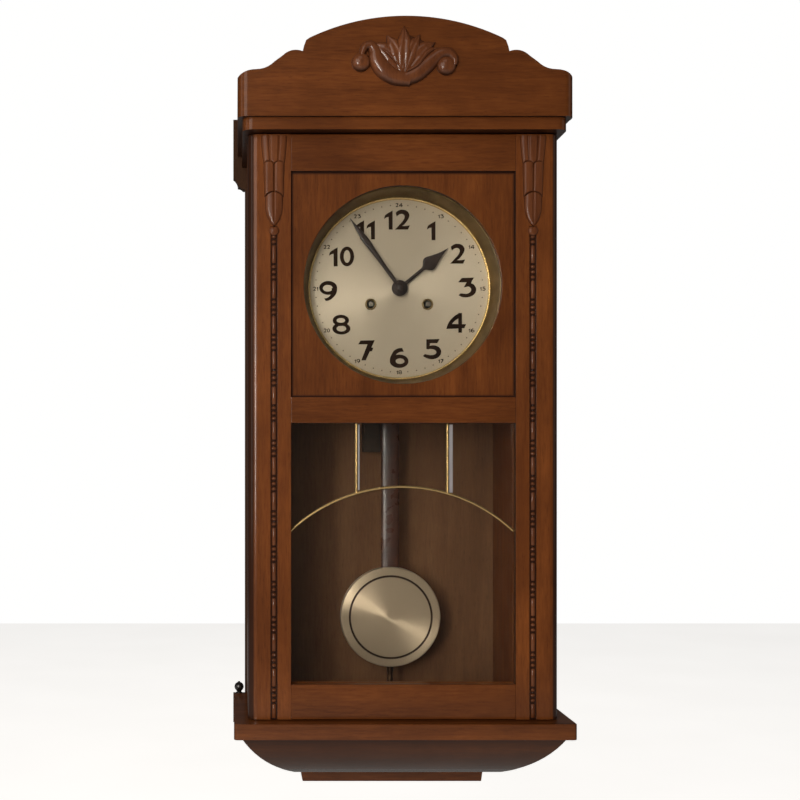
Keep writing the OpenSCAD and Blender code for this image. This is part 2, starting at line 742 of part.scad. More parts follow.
module winding_grommets() color("goldenrod") stand() at_dial() for (s = [-1, 1])
    translate([s * wind_x, dial_y, -wind_z]) rotate([90, 0, 0]) rotate_extrude() polygon([
        [wind_hole_r - run_fit, -dial_t], [wind_hole_r - run_fit, 0], [wind_hole_r + 1.1, 0],
        [wind_hole_r + 1.1, 0.5], [wind_hole_r + 0.2, 1], [wind_hole_r - 0.9, 0.6],
        [wind_hole_r - 0.9, -dial_t]
    ]);

// Hands, each drawn pointing up and then turned
module pointed(w, z0, z1, broad) {
    d = z1 - z0;
    wide_z = z0 + d * broad;
    slim_z = z0 + d * 0.3;
    polygon(concat(
        [[-0.9, z0], [0.9, z0]], bow([w * 0.2, slim_z], [w / 2, wide_z], -0.4, 4),
        bow([w / 2, wide_z], [0.25, z1], -0.5, 6), bow([-0.25, z1], [-w / 2, wide_z], -0.5, 6),
        bow([-w / 2, wide_z], [-w * 0.2, slim_z], -0.4, 4)
    ));
}
module minute_hand() color("dimgray") stand() at_dial() rotate([0, minute_a, 0]) difference() {
    slab(minute_hand_y[0], minute_hand_y[1]) {
        circle(r = 5.2);
        translate([-1.9, 0]) square([3.8, minute_len * 0.4]);
        pointed(6.4, minute_len * 0.3, minute_len, 0.7);
    }
    bar([0, 0], minute_hand_y[0] - 1, minute_hand_y[1] + 1, cannon_pipe_r + run_fit);
}

module hour_hand() color("dimgray") stand() at_dial() rotate([0, hour_a, 0]) difference() {
    slab(hour_hand_y[0], hour_hand_y[1]) {
        circle(r = 8.2);
        translate([-1.9, 0]) square([3.8, hour_len * 0.5]);
        polygon(concat(
            [[-1.9, hour_len * 0.42], [1.9, hour_len * 0.42]],
            bow([1.9, hour_len * 0.42], [7.6, hour_len * 0.62], -1.6, 6),
            bow([7.6, hour_len * 0.62], [0.4, hour_len], -1, 6),
            bow([-0.4, hour_len], [-7.6, hour_len * 0.62], -1, 6),
            bow([-7.6, hour_len * 0.62], [-1.9, hour_len * 0.42], -1.6, 6)
        ));
    }
    bar([0, 0], hour_hand_y[0] - 1, hour_hand_y[1] + 1, hour_pipe_r + run_fit);
}

module hand_nut() color("dimgray") stand() at_dial() translate([0, pipe_end_y - run_fit, 0])
    rotate([90, 0, 0]) rotate_extrude() polygon(concat(
        [[centre_r + run_fit, 0], [3.8, 0], [3.8, 0.8]],
        arc([0, -2.2], pipe_end_y - nut_front_y + 2.2, 45, 90, 6), [[0, 1.7], [centre_r + run_fit, 1.7]]
    ));

// Movement frame
winder_r = 3;
winder_end_r = 2;
module arbor_holes(y0, y1, rear) {
    bar(centre_at, y0, y1, (rear ? pivot_r : centre_r) + run_fit);
    for (p = [time_at, strike_at]) bar(p, y0, y1, (rear ? winder_end_r : winder_r) + run_fit);
    for (p = [second_at, third_at, escape_at, anchor_at, pin_at, fly_at])
        bar(p, y0, y1, pivot_r + run_fit);
    bar(hammer_at, y0, y1, rear ? centre_r + run_fit : pivot_r + run_fit);
}
module movement_plate(y0) slab(y0, y0 + plate_t)
    translate([-plate_half, -plate_down]) square([2 * plate_half, plate_up + plate_down]);
pillar_at = [
    for (s = [-1, 1]) each [[s * (plate_half - 14), plate_up - 9], [s * (plate_half - 7), 18 - plate_down]]
];

module plate_front() color("goldenrod") stand() at_dial() {
    difference() {
        movement_plate(plate_y);
        arbor_holes(plate_y - 1, plate_y + plate_t + 1, false);
        for (p = foot_at) bar(p, plate_y - 1, inner_y + 1, 1.6);
    }
    bar(stud_at, cannon_y[0] - 5, plate_y, 1.2);
    bar(stud_at, minute_y[1] + 0.1, plate_y, 2.5);
}

module plate_back() color("goldenrod") stand() at_dial() difference() {
    movement_plate(rear_y);
    arbor_holes(rear_y - 1, rear_y + plate_t + 1, true);
}

module plate_pillars() color("goldenrod") stand() at_dial()
    for (p = pillar_at) bar(p, inner_y, rear_y, 3.5);

seat_front_y = plate_y - 8;
module seat_board() color("saddlebrown") stand() block(
    [-case_half + side_t, seat_front_y, seat_z],
    [case_half - side_t, seat_front_y + seat_d, seat_z + seat_t]
);

module suspension_cock() color("goldenrod") stand() at_dial() difference() {
    union() {
        block([-15, rear_back_y, hang_up + 4], [15, rear_back_y + 3, plate_up]);
        block([-5, rear_back_y, hang_up + 7], [5, swing_y + 8, hang_up + 13]);
        for (y = [swing_y - 8, swing_y + 5.5]) block([-5, y, hang_up - 4], [5, y + 2.5, hang_up + 13]);
    }
    bar([0, hang_up], swing_y - 9, swing_y + 9, 1 + run_fit);
}

// A wheel with five crossings
module wheel(at, n, m, turn, y0, y1, add = 0.7, hub = 4) difference() {
    translate([at[0], 0, at[1]]) slab(y0, y1) difference() {
        polygon(wheel_points(n, m, turn, add));
        if (m * n > 20) crossings(m * n / 2 - 1.1 * m - 2.2, hub);
    }
}
module crossings(r, hub) difference() {
    circle(r = r);
    circle(r = hub);
    for (i = [0 : 4]) rotate(72 * i) translate([0, -1]) square([r + 1, 2]);
}
// A pinion that reaches a little beyond the wheel it meets, at y[0] to y[1]
module leaves(at, n, m, turn, y) translate([at[0], 0, at[1]])
    slab(y[0] - leaf_over, y[1] + leaf_over) polygon(wheel_points(n, m, turn, 0.7));
// An arbor between the plates with a pivot at each end
module arbor(at, r) {
    bar(at, inner_y + 0.3, rear_y - 0.3, r);
    bar(at, plate_y, rear_back_y, pivot_r);
}

// Phases: the teeth of every pair are set to mesh
second_turn = mesh_turn(time_at, second_at, great_n, 0, leaf12_n);
second_wheel_turn = 0;
centre_leaf_turn = mesh_turn(second_at, centre_at, second_n, second_wheel_turn, leaf10_n);
third_leaf_turn = mesh_turn(centre_at, third_at, centre_n, 0, leaf8_n);
escape_leaf_turn = mesh_turn(third_at, escape_at, third_n, 0, leaf7_n);
pin_leaf_turn = mesh_turn(strike_at, pin_at, great_n, 0, leaf12_n);
fly_leaf_turn = mesh_turn(pin_at, fly_at, second_n, 0, leaf8_n);
minute_wheel_turn = mesh_turn(centre_at, stud_at, cannon_n, 0, minute_n);
hour_wheel_turn = mesh_turn(stud_at, centre_at, hour_leaf_n, 0, hour_n);

drum_wall = 1.2;
module barrel(at, wheel_y, m) difference() {
    union() {
        bar(at, drum_y[0], drum_y[1], barrel_r);
        translate([at[0], 0, at[1]]) slab(wheel_y[0], wheel_y[1]) polygon(wheel_points(great_n, m, 0, 0.7));
    }
    bar(at, drum_y[0] + drum_wall, drum_y[1] - drum_wall, barrel_r - drum_wall);
    bar(at, drum_y[0] - 6, drum_y[1] + 6, winder_r + run_fit);
}
module time_barrel() color("gold") stand() at_dial() barrel(time_at, great_time_y, m_great);
module strike_barrel() color("gold") stand() at_dial() barrel(strike_at, great_strike_y, m_strike);

// Winding arbor with its square for the key and its ratchet wheel
ratchet_n = 24;
module winding_arbor(at) {
    bar(at, plate_y - 1, rear_y - 0.3, winder_r);
    bar(at, rear_y - 0.3, rear_back_y, winder_end_r);
    block([at[0] - 2.1, dial_y - 0.8, at[1] - 2.1], [at[0] + 2.1, plate_y - 1, at[1] + 2.1]);
    translate([at[0], 0, at[1]]) slab(plate_y - 3, plate_y - 1) polygon([
        for (i = [0 : ratchet_n - 1]) let (a = 360 * i / ratchet_n)
            each [[9 * cos(a), 9 * sin(a)], [7.6 * cos(a + 1), 7.6 * sin(a + 1)]]
    ]);
}
module time_arbor() color("silver") stand() at_dial() winding_arbor(time_at);
module strike_arbor() color("silver") stand() at_dial() winding_arbor(strike_at);

module second_wheel() color("gold") stand() at_dial() {
    arbor(second_at, 1.5);
    leaves(second_at, leaf12_n, m_great, second_turn, great_time_y);
    wheel(second_at, second_n, m_second, second_wheel_turn, second_y[0], second_y[1]);
}

module centre_wheel() color("gold") stand() at_dial() {
    bar(centre_at, nut_front_y + 0.7, rear_y - 0.3, centre_r);
    bar(centre_at, rear_y - 0.4, rear_back_y, pivot_r);
    leaves(centre_at, leaf10_n, m_second, centre_leaf_turn, second_y);
    wheel(centre_at, centre_n, m_centre, 0, centre_y[0], centre_y[1]);
}

module third_wheel() color("gold") stand() at_dial() {
    arbor(third_at, 1.2);
    leaves(third_at, leaf8_n, m_centre, third_leaf_turn, centre_y);
    wheel(third_at, third_n, m_third, 0, third_y[0], third_y[1]);
}

escape_r = 12;
module escape_wheel() color("gold") stand() at_dial() {
    arbor(escape_at, 0.95);
    leaves(escape_at, leaf7_n, m_third, escape_leaf_turn, third_y);
    translate([escape_at[0], 0, escape_at[1]]) slab(escape_y[0], escape_y[1]) difference() {
        polygon([
            for (i = [0 : escape_n - 1]) let (a = 360 * i / escape_n, root_r = escape_r - 2) each [
                [escape_r * cos(a), escape_r * sin(a)], [root_r * cos(a + 2), root_r * sin(a + 2)],
                [root_r * cos(a + 8), root_r * sin(a + 8)]
            ]
        ]);
        crossings(escape_r - 3.6, 2.6);
    }
}

// Anchor, its arbor and the crutch that drives the pendulum rod
module anchor() color("silver") stand() at_dial() {
    arbor(anchor_at, 1.2);
    pallet_a = acos(escape_r / apart(anchor_at, escape_at));
    pallet_r = escape_r + 1.1;
    slab(escape_y[0], escape_y[1]) difference() {
        union() {
            translate(anchor_at) circle(r = 3.2);
            for (s = [-1, 1]) polygon([
                anchor_at + [0, 2.6], anchor_at + [s * 10, -1], anchor_at + [s * 13, -5.5],
                escape_at + pallet_r * [s * sin(pallet_a), cos(pallet_a)], anchor_at + [s * 9, -4.2],
                anchor_at + [0, -2.4]
            ]);
        }
    }
    bar(anchor_at, rear_back_y, rear_back_y + 11, pivot_r);
    bar(anchor_at, rear_back_y + 7, rear_back_y + 11, 2.5);
    block([-1.1, rear_back_y + 8, hang_up - crutch_len - 1.2], [1.1, rear_back_y + 9.6, hang_up]);
    bar([0, hang_up - crutch_len], rear_back_y + 8, swing_y + rod_t / 2 + 2, 1.2);
}

module cannon_pinion() color("gold") stand() at_dial() difference() {
    union() {
        leaves(centre_at, cannon_n, m_cannon, 0, [cannon_y[0] + leaf_over, cannon_y[1] - leaf_over]);
        bar(centre_at, pipe_end_y, cannon_y[1] + 3.7, cannon_pipe_r);
    }
    bar(centre_at, pipe_end_y - 1, plate_y, centre_r + run_fit);
}

module minute_wheel() color("gold") stand() at_dial() difference() {
    union() {
        wheel(stud_at, minute_n, m_cannon, minute_wheel_turn, minute_y[0], minute_y[1], 0.7, 5);
        leaves(stud_at, hour_leaf_n, m_hour, 0, [hour_y[0], minute_y[0] - leaf_over]);
    }
    bar(stud_at, hour_y[0] - 2, plate_y, 1.2 + run_fit);
}

module hour_wheel() color("gold") stand() at_dial() difference() {
    union() {
        wheel(centre_at, hour_n, m_hour, hour_wheel_turn, hour_y[0], hour_y[1], 0.7, 6);
        bar(centre_at, hour_hand_y[0] - 0.4, cannon_y[0] - 0.3, hour_pipe_r);
    }
    bar(centre_at, hour_hand_y[0] - 1, plate_y, cannon_pipe_r + run_fit);
}

// Strike train
module pin_wheel() color("gold") stand() at_dial() {
    arbor(pin_at, 1.2);
    leaves(pin_at, leaf12_n, m_strike, pin_leaf_turn, great_strike_y);
    wheel(pin_at, second_n, m_pin, 0, pin_wheel_y[0], pin_wheel_y[1]);
    for (i = [0 : 7]) translate([pin_at[0], 0, pin_at[1]])
        bar([14 * cos(45 * i), 14 * sin(45 * i)], pin_wheel_y[1], pin_wheel_y[1] + 3, 0.8);
}

module fly() color("gold") stand() at_dial() {
    arbor(fly_at, 1.2);
    leaves(fly_at, leaf8_n, m_pin, fly_leaf_turn, pin_wheel_y);
    translate([fly_at[0], 0, fly_at[1]]) rotate([0, 20, 0]) block([-9, fly_y[0], -0.3], [9, fly_y[1], 0.3]);
}

// Hammer: long arbor, tail towards the pins, arm behind the pendulum and head beside the rods
head_z = gong_low + gong_block_h + 16 - dial_z;
head_y = back_y - 15;
module hammer() color("silver") stand() at_dial() {
    tail_len = apart(hammer_at, pin_at) - 15.2;
    bar(hammer_at, plate_y, inner_y + 1, pivot_r);
    bar(hammer_at, inner_y + 0.3, head_y + 1.5, centre_r);
    translate([hammer_at[0], 0, hammer_at[1]]) rotate([0, -aim(hammer_at, pin_at), 0])
        block([0, pin_wheel_y[1] + 1, -1], [tail_len, pin_wheel_y[1] + 3, 1]);
    slab(head_y - 1.5, head_y + 1.5) polygon([
        hammer_at + [-1.5, 0], [-gong_x - 12, head_z + 8], [-gong_x - 12, head_z + 2],
        [-gong_x - 9, head_z + 2], [-gong_x - 9, head_z + 9], hammer_at + [1.5, 0]
    ]);
    block([-gong_x - 15, head_y - 9, head_z - 6], [-gong_x - 3.5, head_y + 9, head_z + 6]);
}

gong_y = [head_y - 5, head_y + 5];
module gong_block() color("dimgray") stand() difference() {
    block([-gong_x - 9, head_y - 11, gong_low], [-gong_x + 9, back_y, gong_low + gong_block_h]);
    for (y = gong_y) translate([-gong_x, y, gong_low + gong_block_h - 20]) cylinder(r = 2.02, h = 21);
}
module gong_rods() color("silver") stand() for (y = gong_y)
    translate([-gong_x, y, gong_low + gong_block_h - 20]) cylinder(r = 2, h = 20 + gong_len);

// Pendulum
module suspension_spring() color("silver") stand() translate([0, swing_y, pivot_z]) {
    bar([0, 0], -8, 8, 1);
    block([-3.5, -5, -4.5], [3.5, 5, 4]);
    block([-0.15, -4, -18], [0.15, 4, -4.5]);
    block([-3.5, -5, -26], [3.5, 5, -18]);
    block([-2, -1.5, -36], [2, 1.5, -26]);
}

module pendulum_rod() color("maroon") stand() difference() {
    crutch_z = pivot_z - crutch_len;
    block([-rod_w / 2, swing_y - rod_t / 2, rod_low_z], [rod_w / 2, swing_y + rod_t / 2, rod_top_z]);
    block([-2.05, swing_y - 1.55, rod_top_z - 10.1], [2.05, swing_y + 1.55, rod_top_z + 1]);
    block([-1.3, swing_y - rod_t, crutch_z - 6], [1.3, swing_y + rod_t, crutch_z + 6]);
    translate([0, swing_y, rod_low_z - 1]) cylinder(r = tip_r + run_fit, h = tip_deep + 1);
}

module pendulum_bob() color("tan") stand() difference() {
    union() {
        translate([0, swing_y, bob_z]) rotate([90, 0, 0]) rotate_extrude($fn = 128) polygon(concat(
            [[0, -bob_t], [bob_r * 0.5, -bob_t * 0.91], [bob_r * 0.9, -bob_t * 0.62],
                [bob_r - 1, -bob_t / 2], [bob_r, -bob_t * 0.4], [bob_r, bob_t * 0.38]],
            arc([bob_r - 2.5, bob_t * 0.38], 2.5, 0, 70, 5),
            [[bob_r * 0.865, bob_t * 0.82], [bob_r * 0.86, bob_t * 0.69], [bob_r * 0.83, bob_t * 0.69],
                [bob_r * 0.825, bob_t * 0.84]],
            bow([bob_r * 0.8, bob_t * 0.86], [0, bob_t * 1.05], -0.5, 8)
        ));
        translate([0, swing_y, bob_z - bob_r - ferrule_len]) cylinder(r = ferrule_r, h = ferrule_len + 6);
    }
    difference() {
        block([-rod_w / 2 - 0.15, swing_y - rod_t / 2 - 0.15, rod_low_z - 5],
            [rod_w / 2 + 0.15, swing_y + 12, bob_z + bob_r + 1]);
        block([-14, swing_y + rod_t / 2 + 0.3, bob_z - 8], [14, swing_y + 6, bob_z + 8]);
    }
    translate([0, swing_y, bob_z - bob_r - ferrule_len - 1]) cylinder(r = tip_r + run_fit, h = bob_r);
}

module rod_tip() color("gold") stand() translate([0, swing_y, nut_top_z - nut_h - tip_out])
    cylinder(r = tip_r, h = rod_low_z + tip_deep - 1 - (nut_top_z - nut_h - tip_out));

module rating_nut() color("gold") stand() translate([0, swing_y, nut_top_z - nut_h]) difference() {
    rotate_extrude() polygon([
        [0, 0], [nut_r - 1, 0], [nut_r, 1], [nut_r, nut_h - 2.5], [nut_r - 1, nut_h - 1.5],
        [4, nut_h - 1.5], [4, nut_h], [0, nut_h]
    ]);
    translate([0, 0, -1]) cylinder(r = tip_r + run_fit, h = nut_h + 2);
}

back_panel();
side_left();
side_right();
top_board();
crest_board();
cap_boards();
crest_carving();
shelf_board();
base_hull();
base_block();
ear_finials();
hanger_plate();
hanger_screws();
seat_board();
gong_block();
gong_rods();
stile_left();
stile_right();
top_rail();
middle_rail();
bottom_rail();
dial_panel();
dial_glass();
window_panes();
cames();
glazing_beads();
carved_drops();
bead_strips();
door_catch();
hinge_pins();
dial_plate();
dial_bezel();
winding_grommets();
minute_hand();
hour_hand();
hand_nut();
suspension_spring();
pendulum_rod();
pendulum_bob();
rod_tip();
rating_nut();
plate_front();
plate_back();
plate_pillars();
suspension_cock();
time_barrel();
time_arbor();
strike_barrel();
strike_arbor();
second_wheel();
centre_wheel();
third_wheel();
escape_wheel();
anchor();
cannon_pinion();
minute_wheel();
hour_wheel();
pin_wheel();
fly();
hammer();
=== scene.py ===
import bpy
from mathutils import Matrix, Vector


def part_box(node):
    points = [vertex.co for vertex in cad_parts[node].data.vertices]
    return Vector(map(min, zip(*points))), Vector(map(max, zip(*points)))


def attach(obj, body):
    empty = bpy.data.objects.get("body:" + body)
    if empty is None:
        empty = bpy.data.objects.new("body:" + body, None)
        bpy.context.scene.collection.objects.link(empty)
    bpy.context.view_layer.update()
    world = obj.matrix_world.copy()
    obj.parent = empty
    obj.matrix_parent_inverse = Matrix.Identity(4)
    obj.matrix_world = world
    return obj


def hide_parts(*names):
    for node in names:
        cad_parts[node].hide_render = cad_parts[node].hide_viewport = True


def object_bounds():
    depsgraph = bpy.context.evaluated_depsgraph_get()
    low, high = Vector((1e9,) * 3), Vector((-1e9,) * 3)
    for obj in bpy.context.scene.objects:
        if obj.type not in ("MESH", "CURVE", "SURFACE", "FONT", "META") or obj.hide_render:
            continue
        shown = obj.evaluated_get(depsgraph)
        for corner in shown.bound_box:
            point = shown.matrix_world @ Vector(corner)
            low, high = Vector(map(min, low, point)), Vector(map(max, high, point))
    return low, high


bl_info = {
    "name": "Regulator wall clock",
    "version": (1, 0, 0),
    "blender": (4, 5, 0),
    "location": "View3D > Sidebar > Clock",
    "description": "Dresses the packed wall clock with carved, turned, printed and glazed pieces",
    "category": "Add Mesh",
}

from math import asin, cos, pi, radians, sin, sqrt

import bmesh
import bpy
import numpy as np

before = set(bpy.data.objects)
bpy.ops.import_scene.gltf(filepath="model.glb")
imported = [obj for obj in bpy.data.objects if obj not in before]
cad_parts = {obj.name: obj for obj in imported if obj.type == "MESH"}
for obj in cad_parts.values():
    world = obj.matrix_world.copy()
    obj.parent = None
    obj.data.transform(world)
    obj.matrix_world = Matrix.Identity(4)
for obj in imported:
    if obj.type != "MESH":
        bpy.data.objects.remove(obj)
CAD_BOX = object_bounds()

MM = 0.001
# The photograph's width, vanishing point and focal length in pixels, and where it was taken from, in metres
PHOTO_PX = 800
AXIS_PX = (236, 460)
FOCAL_PX = 1280
EYE = (-0.1675, -1.445, -0.3549)
# The width of the camera's sensor, in millimetres, and how far the floor lies below the clock, in metres
FILM = 36.0
FLOOR_DROP = 0.35


def corners(node):
    """The low and the high corner of a CAD node's box, in millimetres."""
    return [np.array(corner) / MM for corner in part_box(node)]


def middle(node):
    """The middle of a CAD node's box, in millimetres."""
    low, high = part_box(node)
    return np.array((low + high) / 2) / MM


ARBORS = ("time_arbor", "strike_arbor")
DIAL = middle("dial_plate")
DIAL_Y = corners("dial_plate")[0][1]
DOOR_Y = corners("stile_left")[0][1]
CREST_Y = corners("crest_board")[0][1]
CREST_TOP = corners("crest_board")[1][2]
BOB_R, _, BOB_TOP = corners("pendulum_bob")[1]
BOB = np.array([0.0, middle("pendulum_rod")[1], BOB_TOP - BOB_R])
# The radius of the bob's groove as a share of the bob's
GROOVE_SHARE = 0.82
# How deep carved work reaches into its board, in millimetres
SINK = 0.4


def measure(name, words, value, low, high):
    """A length property with its name, its description, its default and its limits, in metres."""
    return bpy.props.FloatProperty(
        name=name, description=words, default=value, min=low, max=high, unit="LENGTH")


def bearing(name, words, degrees):
    """An angle property with its name, its description and its default."""
    return bpy.props.FloatProperty(
        name=name, description=words, default=radians(degrees), subtype="ANGLE")


def colour(name, words, value):
    """A colour property with its name, its description and its default."""
    return bpy.props.FloatVectorProperty(
        name=name, description=words, subtype="COLOR", size=3, min=0.0, max=1.0, default=value)


class ClockSizes(bpy.types.PropertyGroup):
    """Sizes that are only in the dressed clock."""

    edge_round: measure("Edge rounding", "Width of the rounding on the boards' edges", 0.0008, 0.0001, 0.003)
    numeral_h: measure("Numeral height", "Height of the twelve large numerals", 0.0204, 0.012, 0.026)
    numeral_r: measure("Numeral circle", "Radius of the circle of large numerals", 0.0702, 0.05, 0.08)
    small_h: measure("Small numeral height", "Height of the numerals from 13 to 24", 0.0041, 0.002, 0.006)
    small_r: measure("Minute circle", "Radius of the circle of small numerals and dots", 0.0858, 0.08, 0.09)
    dot_r: measure("Minute dot", "Radius of a minute dot", 0.0006, 0.0002, 0.001)
    minute_len: measure("Minute hand", "Length of the minute hand from the centre", 0.087, 0.07, 0.09)
    hour_len: measure("Hour hand", "Length of the hour hand from the centre", 0.064, 0.05, 0.07)
    minute_turn: bearing("Minute hand turn", "Angle of the minute hand, clockwise from twelve", -35.8)
    hour_turn: bearing("Hour hand turn", "Angle of the hour hand, clockwise from twelve", 50.5)
    carving_rise: measure("Carving relief", "How far the crest carving stands out", 0.0078, 0.003, 0.008)
    drop_rise: measure("Drop relief", "How far the carved drops stand out", 0.0039, 0.002, 0.004)
    reel_pitch: measure("Bead and reel pitch", "Length of one pattern of the strips", 0.0353, 0.03, 0.04)
    pane_bevel: measure("Pane bevel", "Width of the bevel beside the right came", 0.0034, 0.002, 0.01)


class ClockColours(bpy.types.PropertyGroup):
    """Base colours of the finishes."""

    wood_pale: colour("Pale wood", "Light grain of the stained case wood", (0.242, 0.07, 0.014))
    wood_dark: colour("Dark wood", "Dark grain of the stained case wood", (0.094, 0.0245, 0.0042))
    # Painted shade: this colour darkens faces that turn aside or down and the hollows; it also inks the
    # pores.
    wood_turned: colour("Dark turns", "Stain on faces that turn aside or down", (0.018, 0.006, 0.003))
    stile_pale: colour("Pale stiles", "Light grain of the door's stiles", (0.286, 0.083, 0.017))
    stile_dark: colour("Dark stiles", "Dark grain of the door's stiles", (0.116, 0.031, 0.0062))
    back_pale: colour("Pale back", "Light grain of the back panel", (0.2, 0.095, 0.042))
    back_dark: colour("Dark back", "Dark grain of the back panel", (0.118, 0.053, 0.024))
    carving_pale: colour("Pale carving", "High places of the carving", (0.24, 0.078, 0.026))
    carving_dark: colour("Dark carving", "Hollows of the carving", (0.1, 0.028, 0.009))
    silver: colour("Silvered dial", "Silvered metal of the dial", (0.48, 0.395, 0.292))
    print_brown: colour("Numeral paint", "Dark brown paint of the numerals", (0.024, 0.012, 0.007))
    hand_brown: colour("Hands", "Dark brown finish of the hands", (0.026, 0.014, 0.01))
    brass: colour("Brass", "Polished brass", (0.7, 0.48, 0.2))
    pale_brass: colour("Bob brass", "Pale lacquered brass of the bob", (0.5, 0.385, 0.262))
    groove_brown: colour("Bob groove", "Dark brown of the groove turned in the bob", (0.036, 0.014, 0.006))
    old_brass: colour("Dial surround", "Dull brass of the dial surround", (0.21, 0.145, 0.07))
    steel: colour("Steel", "Bare steel", (0.42, 0.42, 0.42))
    arbor_steel: colour("Winding squares", "Darkened steel of the winding squares", (0.3, 0.26, 0.21))
    iron: colour("Gong block", "Black iron of the gong block", (0.042, 0.025, 0.015))
    lacquer: colour("Rod lacquer", "Dark brown lacquer of the pendulum rod", (0.062, 0.022, 0.012))
    black: colour("Black varnish", "Black varnish of the finials", (0.012, 0.01, 0.009))
    glass: colour("Glass", "Tint of the glass", (0.96, 0.975, 0.965))
    floor: colour("Floor", "Pale floor", (0.82, 0.81, 0.795))
    bronze: colour("Ferrule bronze", "Dark bronze of the ferrule under the bob", (0.1, 0.05, 0.025))
    # The bevelled glass colour is the pale tone of a painted reflection.
    bevel: colour("Bevelled glass", "Tint of the ground bevels", (0.62, 0.62, 0.66))


def sizes():
    return bpy.context.scene.clock_sizes


def tinted(name, share=1.0):
    """A colour property, darkened to a share of itself."""
    return tuple(c * share for c in getattr(bpy.context.scene.clock_colours, name))


# Surfaces


class Surface:
    """Collects grids of points, in millimetres, and the faces between them, for one mesh."""

    def __init__(self):
        self.points = []
        self.faces = []
        self.count = 0

    def grid(self, points, caps=False):
        """Adds a grid whose last column joins its first; caps close its first and its last row."""
        rows, cols = points.shape[:2]
        row = np.arange(rows - 1)[:, None] * cols
        col = np.arange(cols)
        after = (col + 1) % cols
        quads = np.stack([row + col, row + after, row + cols + after, row + cols + col], -1)
        self.points.append(points.reshape(-1, 3))
        self.faces += (quads.reshape(-1, 4) + self.count).tolist()
        if caps:
            self.faces += [(col + self.count).tolist(), (col + self.count + (rows - 1) * cols).tolist()]
        self.count += rows * cols
        return self

    def mesh(self, name):
        """The finished mesh in metres: doubles merged, faces pointing outwards."""
        mesh = bpy.data.meshes.new(name)
        mesh.from_pydata(np.concatenate(self.points) * MM, [], self.faces)
        shape = bmesh.new()
        shape.from_mesh(mesh)
        bmesh.ops.remove_doubles(shape, verts=shape.verts, dist=1e-6)
        bmesh.ops.recalc_face_normals(shape, faces=shape.faces)
        shape.to_mesh(mesh)
        shape.free()
        return mesh


def cover(mesh, finish_name):
    """Gives a mesh its one finish."""
    mesh.materials.clear()
    mesh.materials.append(finish(finish_name))


def paint(finish_name, *nodes):
    """Gives CAD nodes their finish."""
    for node in nodes:
        cover(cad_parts[node].data, finish_name)


def place(name, shape, finish_name, body, slot, nodes=(), smooth=32.0):
    """Makes a surface or a mesh a piece that rides on a body, stands for the nodes and has one finish."""
    mesh = shape.mesh(name) if isinstance(shape, Surface) else shape
    cover(mesh, finish_name)
    mesh.shade_smooth()
    mesh.set_sharp_from_angle(angle=radians(smooth))
    piece = bpy.data.objects.new(name, mesh)
    bpy.context.scene.collection.objects.link(piece)
    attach(piece, body)
    if nodes:
        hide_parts(*nodes)
    return piece


def flow(knots, rows):
    """A smooth line through the knots: between two knots it is the cubic whose slope at each knot is half the
    way between that knot's neighbours."""
    k = np.array(knots, float)
    ends = np.vstack([2 * k[0] - k[1], k, 2 * k[-1] - k[-2]])
    u = np.linspace(0, len(k) - 1 - 1e-9, rows)
    i = u.astype(int)
    f = (u - i)[:, None]
    a, b, c, d = ends[i], ends[i + 1], ends[i + 2], ends[i + 3]
    return 0.5 * (2 * b + (c - a) * f + (2 * a - 5 * b + 4 * c - d) * f**2 + (3 * b - a - 3 * c + d) * f**3)


def carried(path, across, out, y):
    """A section carried along a line in X and Z: point j of row i lies across[i, j] to the left of the line
    and out[i, j] in front of the depth y."""
    path = np.array(path, float)
    way = np.gradient(path, axis=0)
    way /= np.linalg.norm(way, axis=1)[:, None] + 1e-12
    left = np.stack([-way[:, 1], way[:, 0]], 1)
    xz = path[:, None, :] + left[:, None, :] * across[:, :, None]
    return np.stack([xz[..., 0], y - out, xz[..., 1]], -1)


def strap(path, width, height, y, power=2.0, vein=0.0, cols=15, sink=SINK):
    """A carved band or leaf laid on a board at depth y. Across a row t runs from -1 to 1: the point lies
    t * width / 2 beside the line and stands height * (1 - |t| ** power) ** 0.5 proud, and a vein along the
    middle takes vein * height * exp(-(t / 0.2) ** 2) away. The back lies sink deep in the board."""
    t = np.linspace(-1, 1, cols)
    width = np.broadcast_to(width, len(path))[:, None]
    height = np.broadcast_to(height, len(path))[:, None]
    out = height * ((1 - np.abs(t) ** power).clip(0) ** 0.5 - vein * np.exp(-((t / 0.2) ** 2)))
    out[:, [0, -1]] = -sink
    return carried(path, width / 2 * t, out, y)


def turned(profile, centre, cols=128, upright=False, half=False):
    """A profile of (radius, height) turned round an axis through the centre. The axis lies along Y and height
    counts towards the front, or it is upright and height counts upwards. Half turns only the front half."""
    r, h = np.array(profile, float).T
    a = pi * (1 + np.linspace(0, 1, cols)) if half else 2 * pi * np.arange(cols) / cols
    u, v = r[:, None] * np.cos(a), r[:, None] * np.sin(a)
    w = np.broadcast_to(h[:, None], u.shape)
    return np.array(centre, float) + np.stack([u, v, w] if upright else [u, -w, v], -1)


def arc(x, z, rx, rz, start, end, n):
    """Points of an ellipse's arc round x, z with the half widths rx and rz, from one angle to another."""
    return [(x + rx * cos(a), z + rz * sin(a)) for a in np.linspace(start, end, n)]


def band(a, b, y, raised):
    """A flat bar between two lines in X and Z that have as many points: its face stands raised in front of
    the depth y and its back lies 0.02 behind it."""
    xz = np.stack([a, a, b, b], 1)
    depth = np.broadcast_to([y + 0.02, y - raised, y - raised, y + 0.02], xz.shape[:2])
    return np.stack([xz[..., 0], depth, xz[..., 1]], -1)


def relief(x, z, out, y):
    """A carved surface on a board at depth y: point (i, j) lies at x, z and stands out proud. A border of the
    same outline lies in the board and closes it."""
    x, z = np.pad(x, 1, mode="edge"), np.pad(z, 1, mode="edge")
    return np.stack([x, y - np.pad(out, 1, constant_values=-SINK), z], -1)


# Finishes


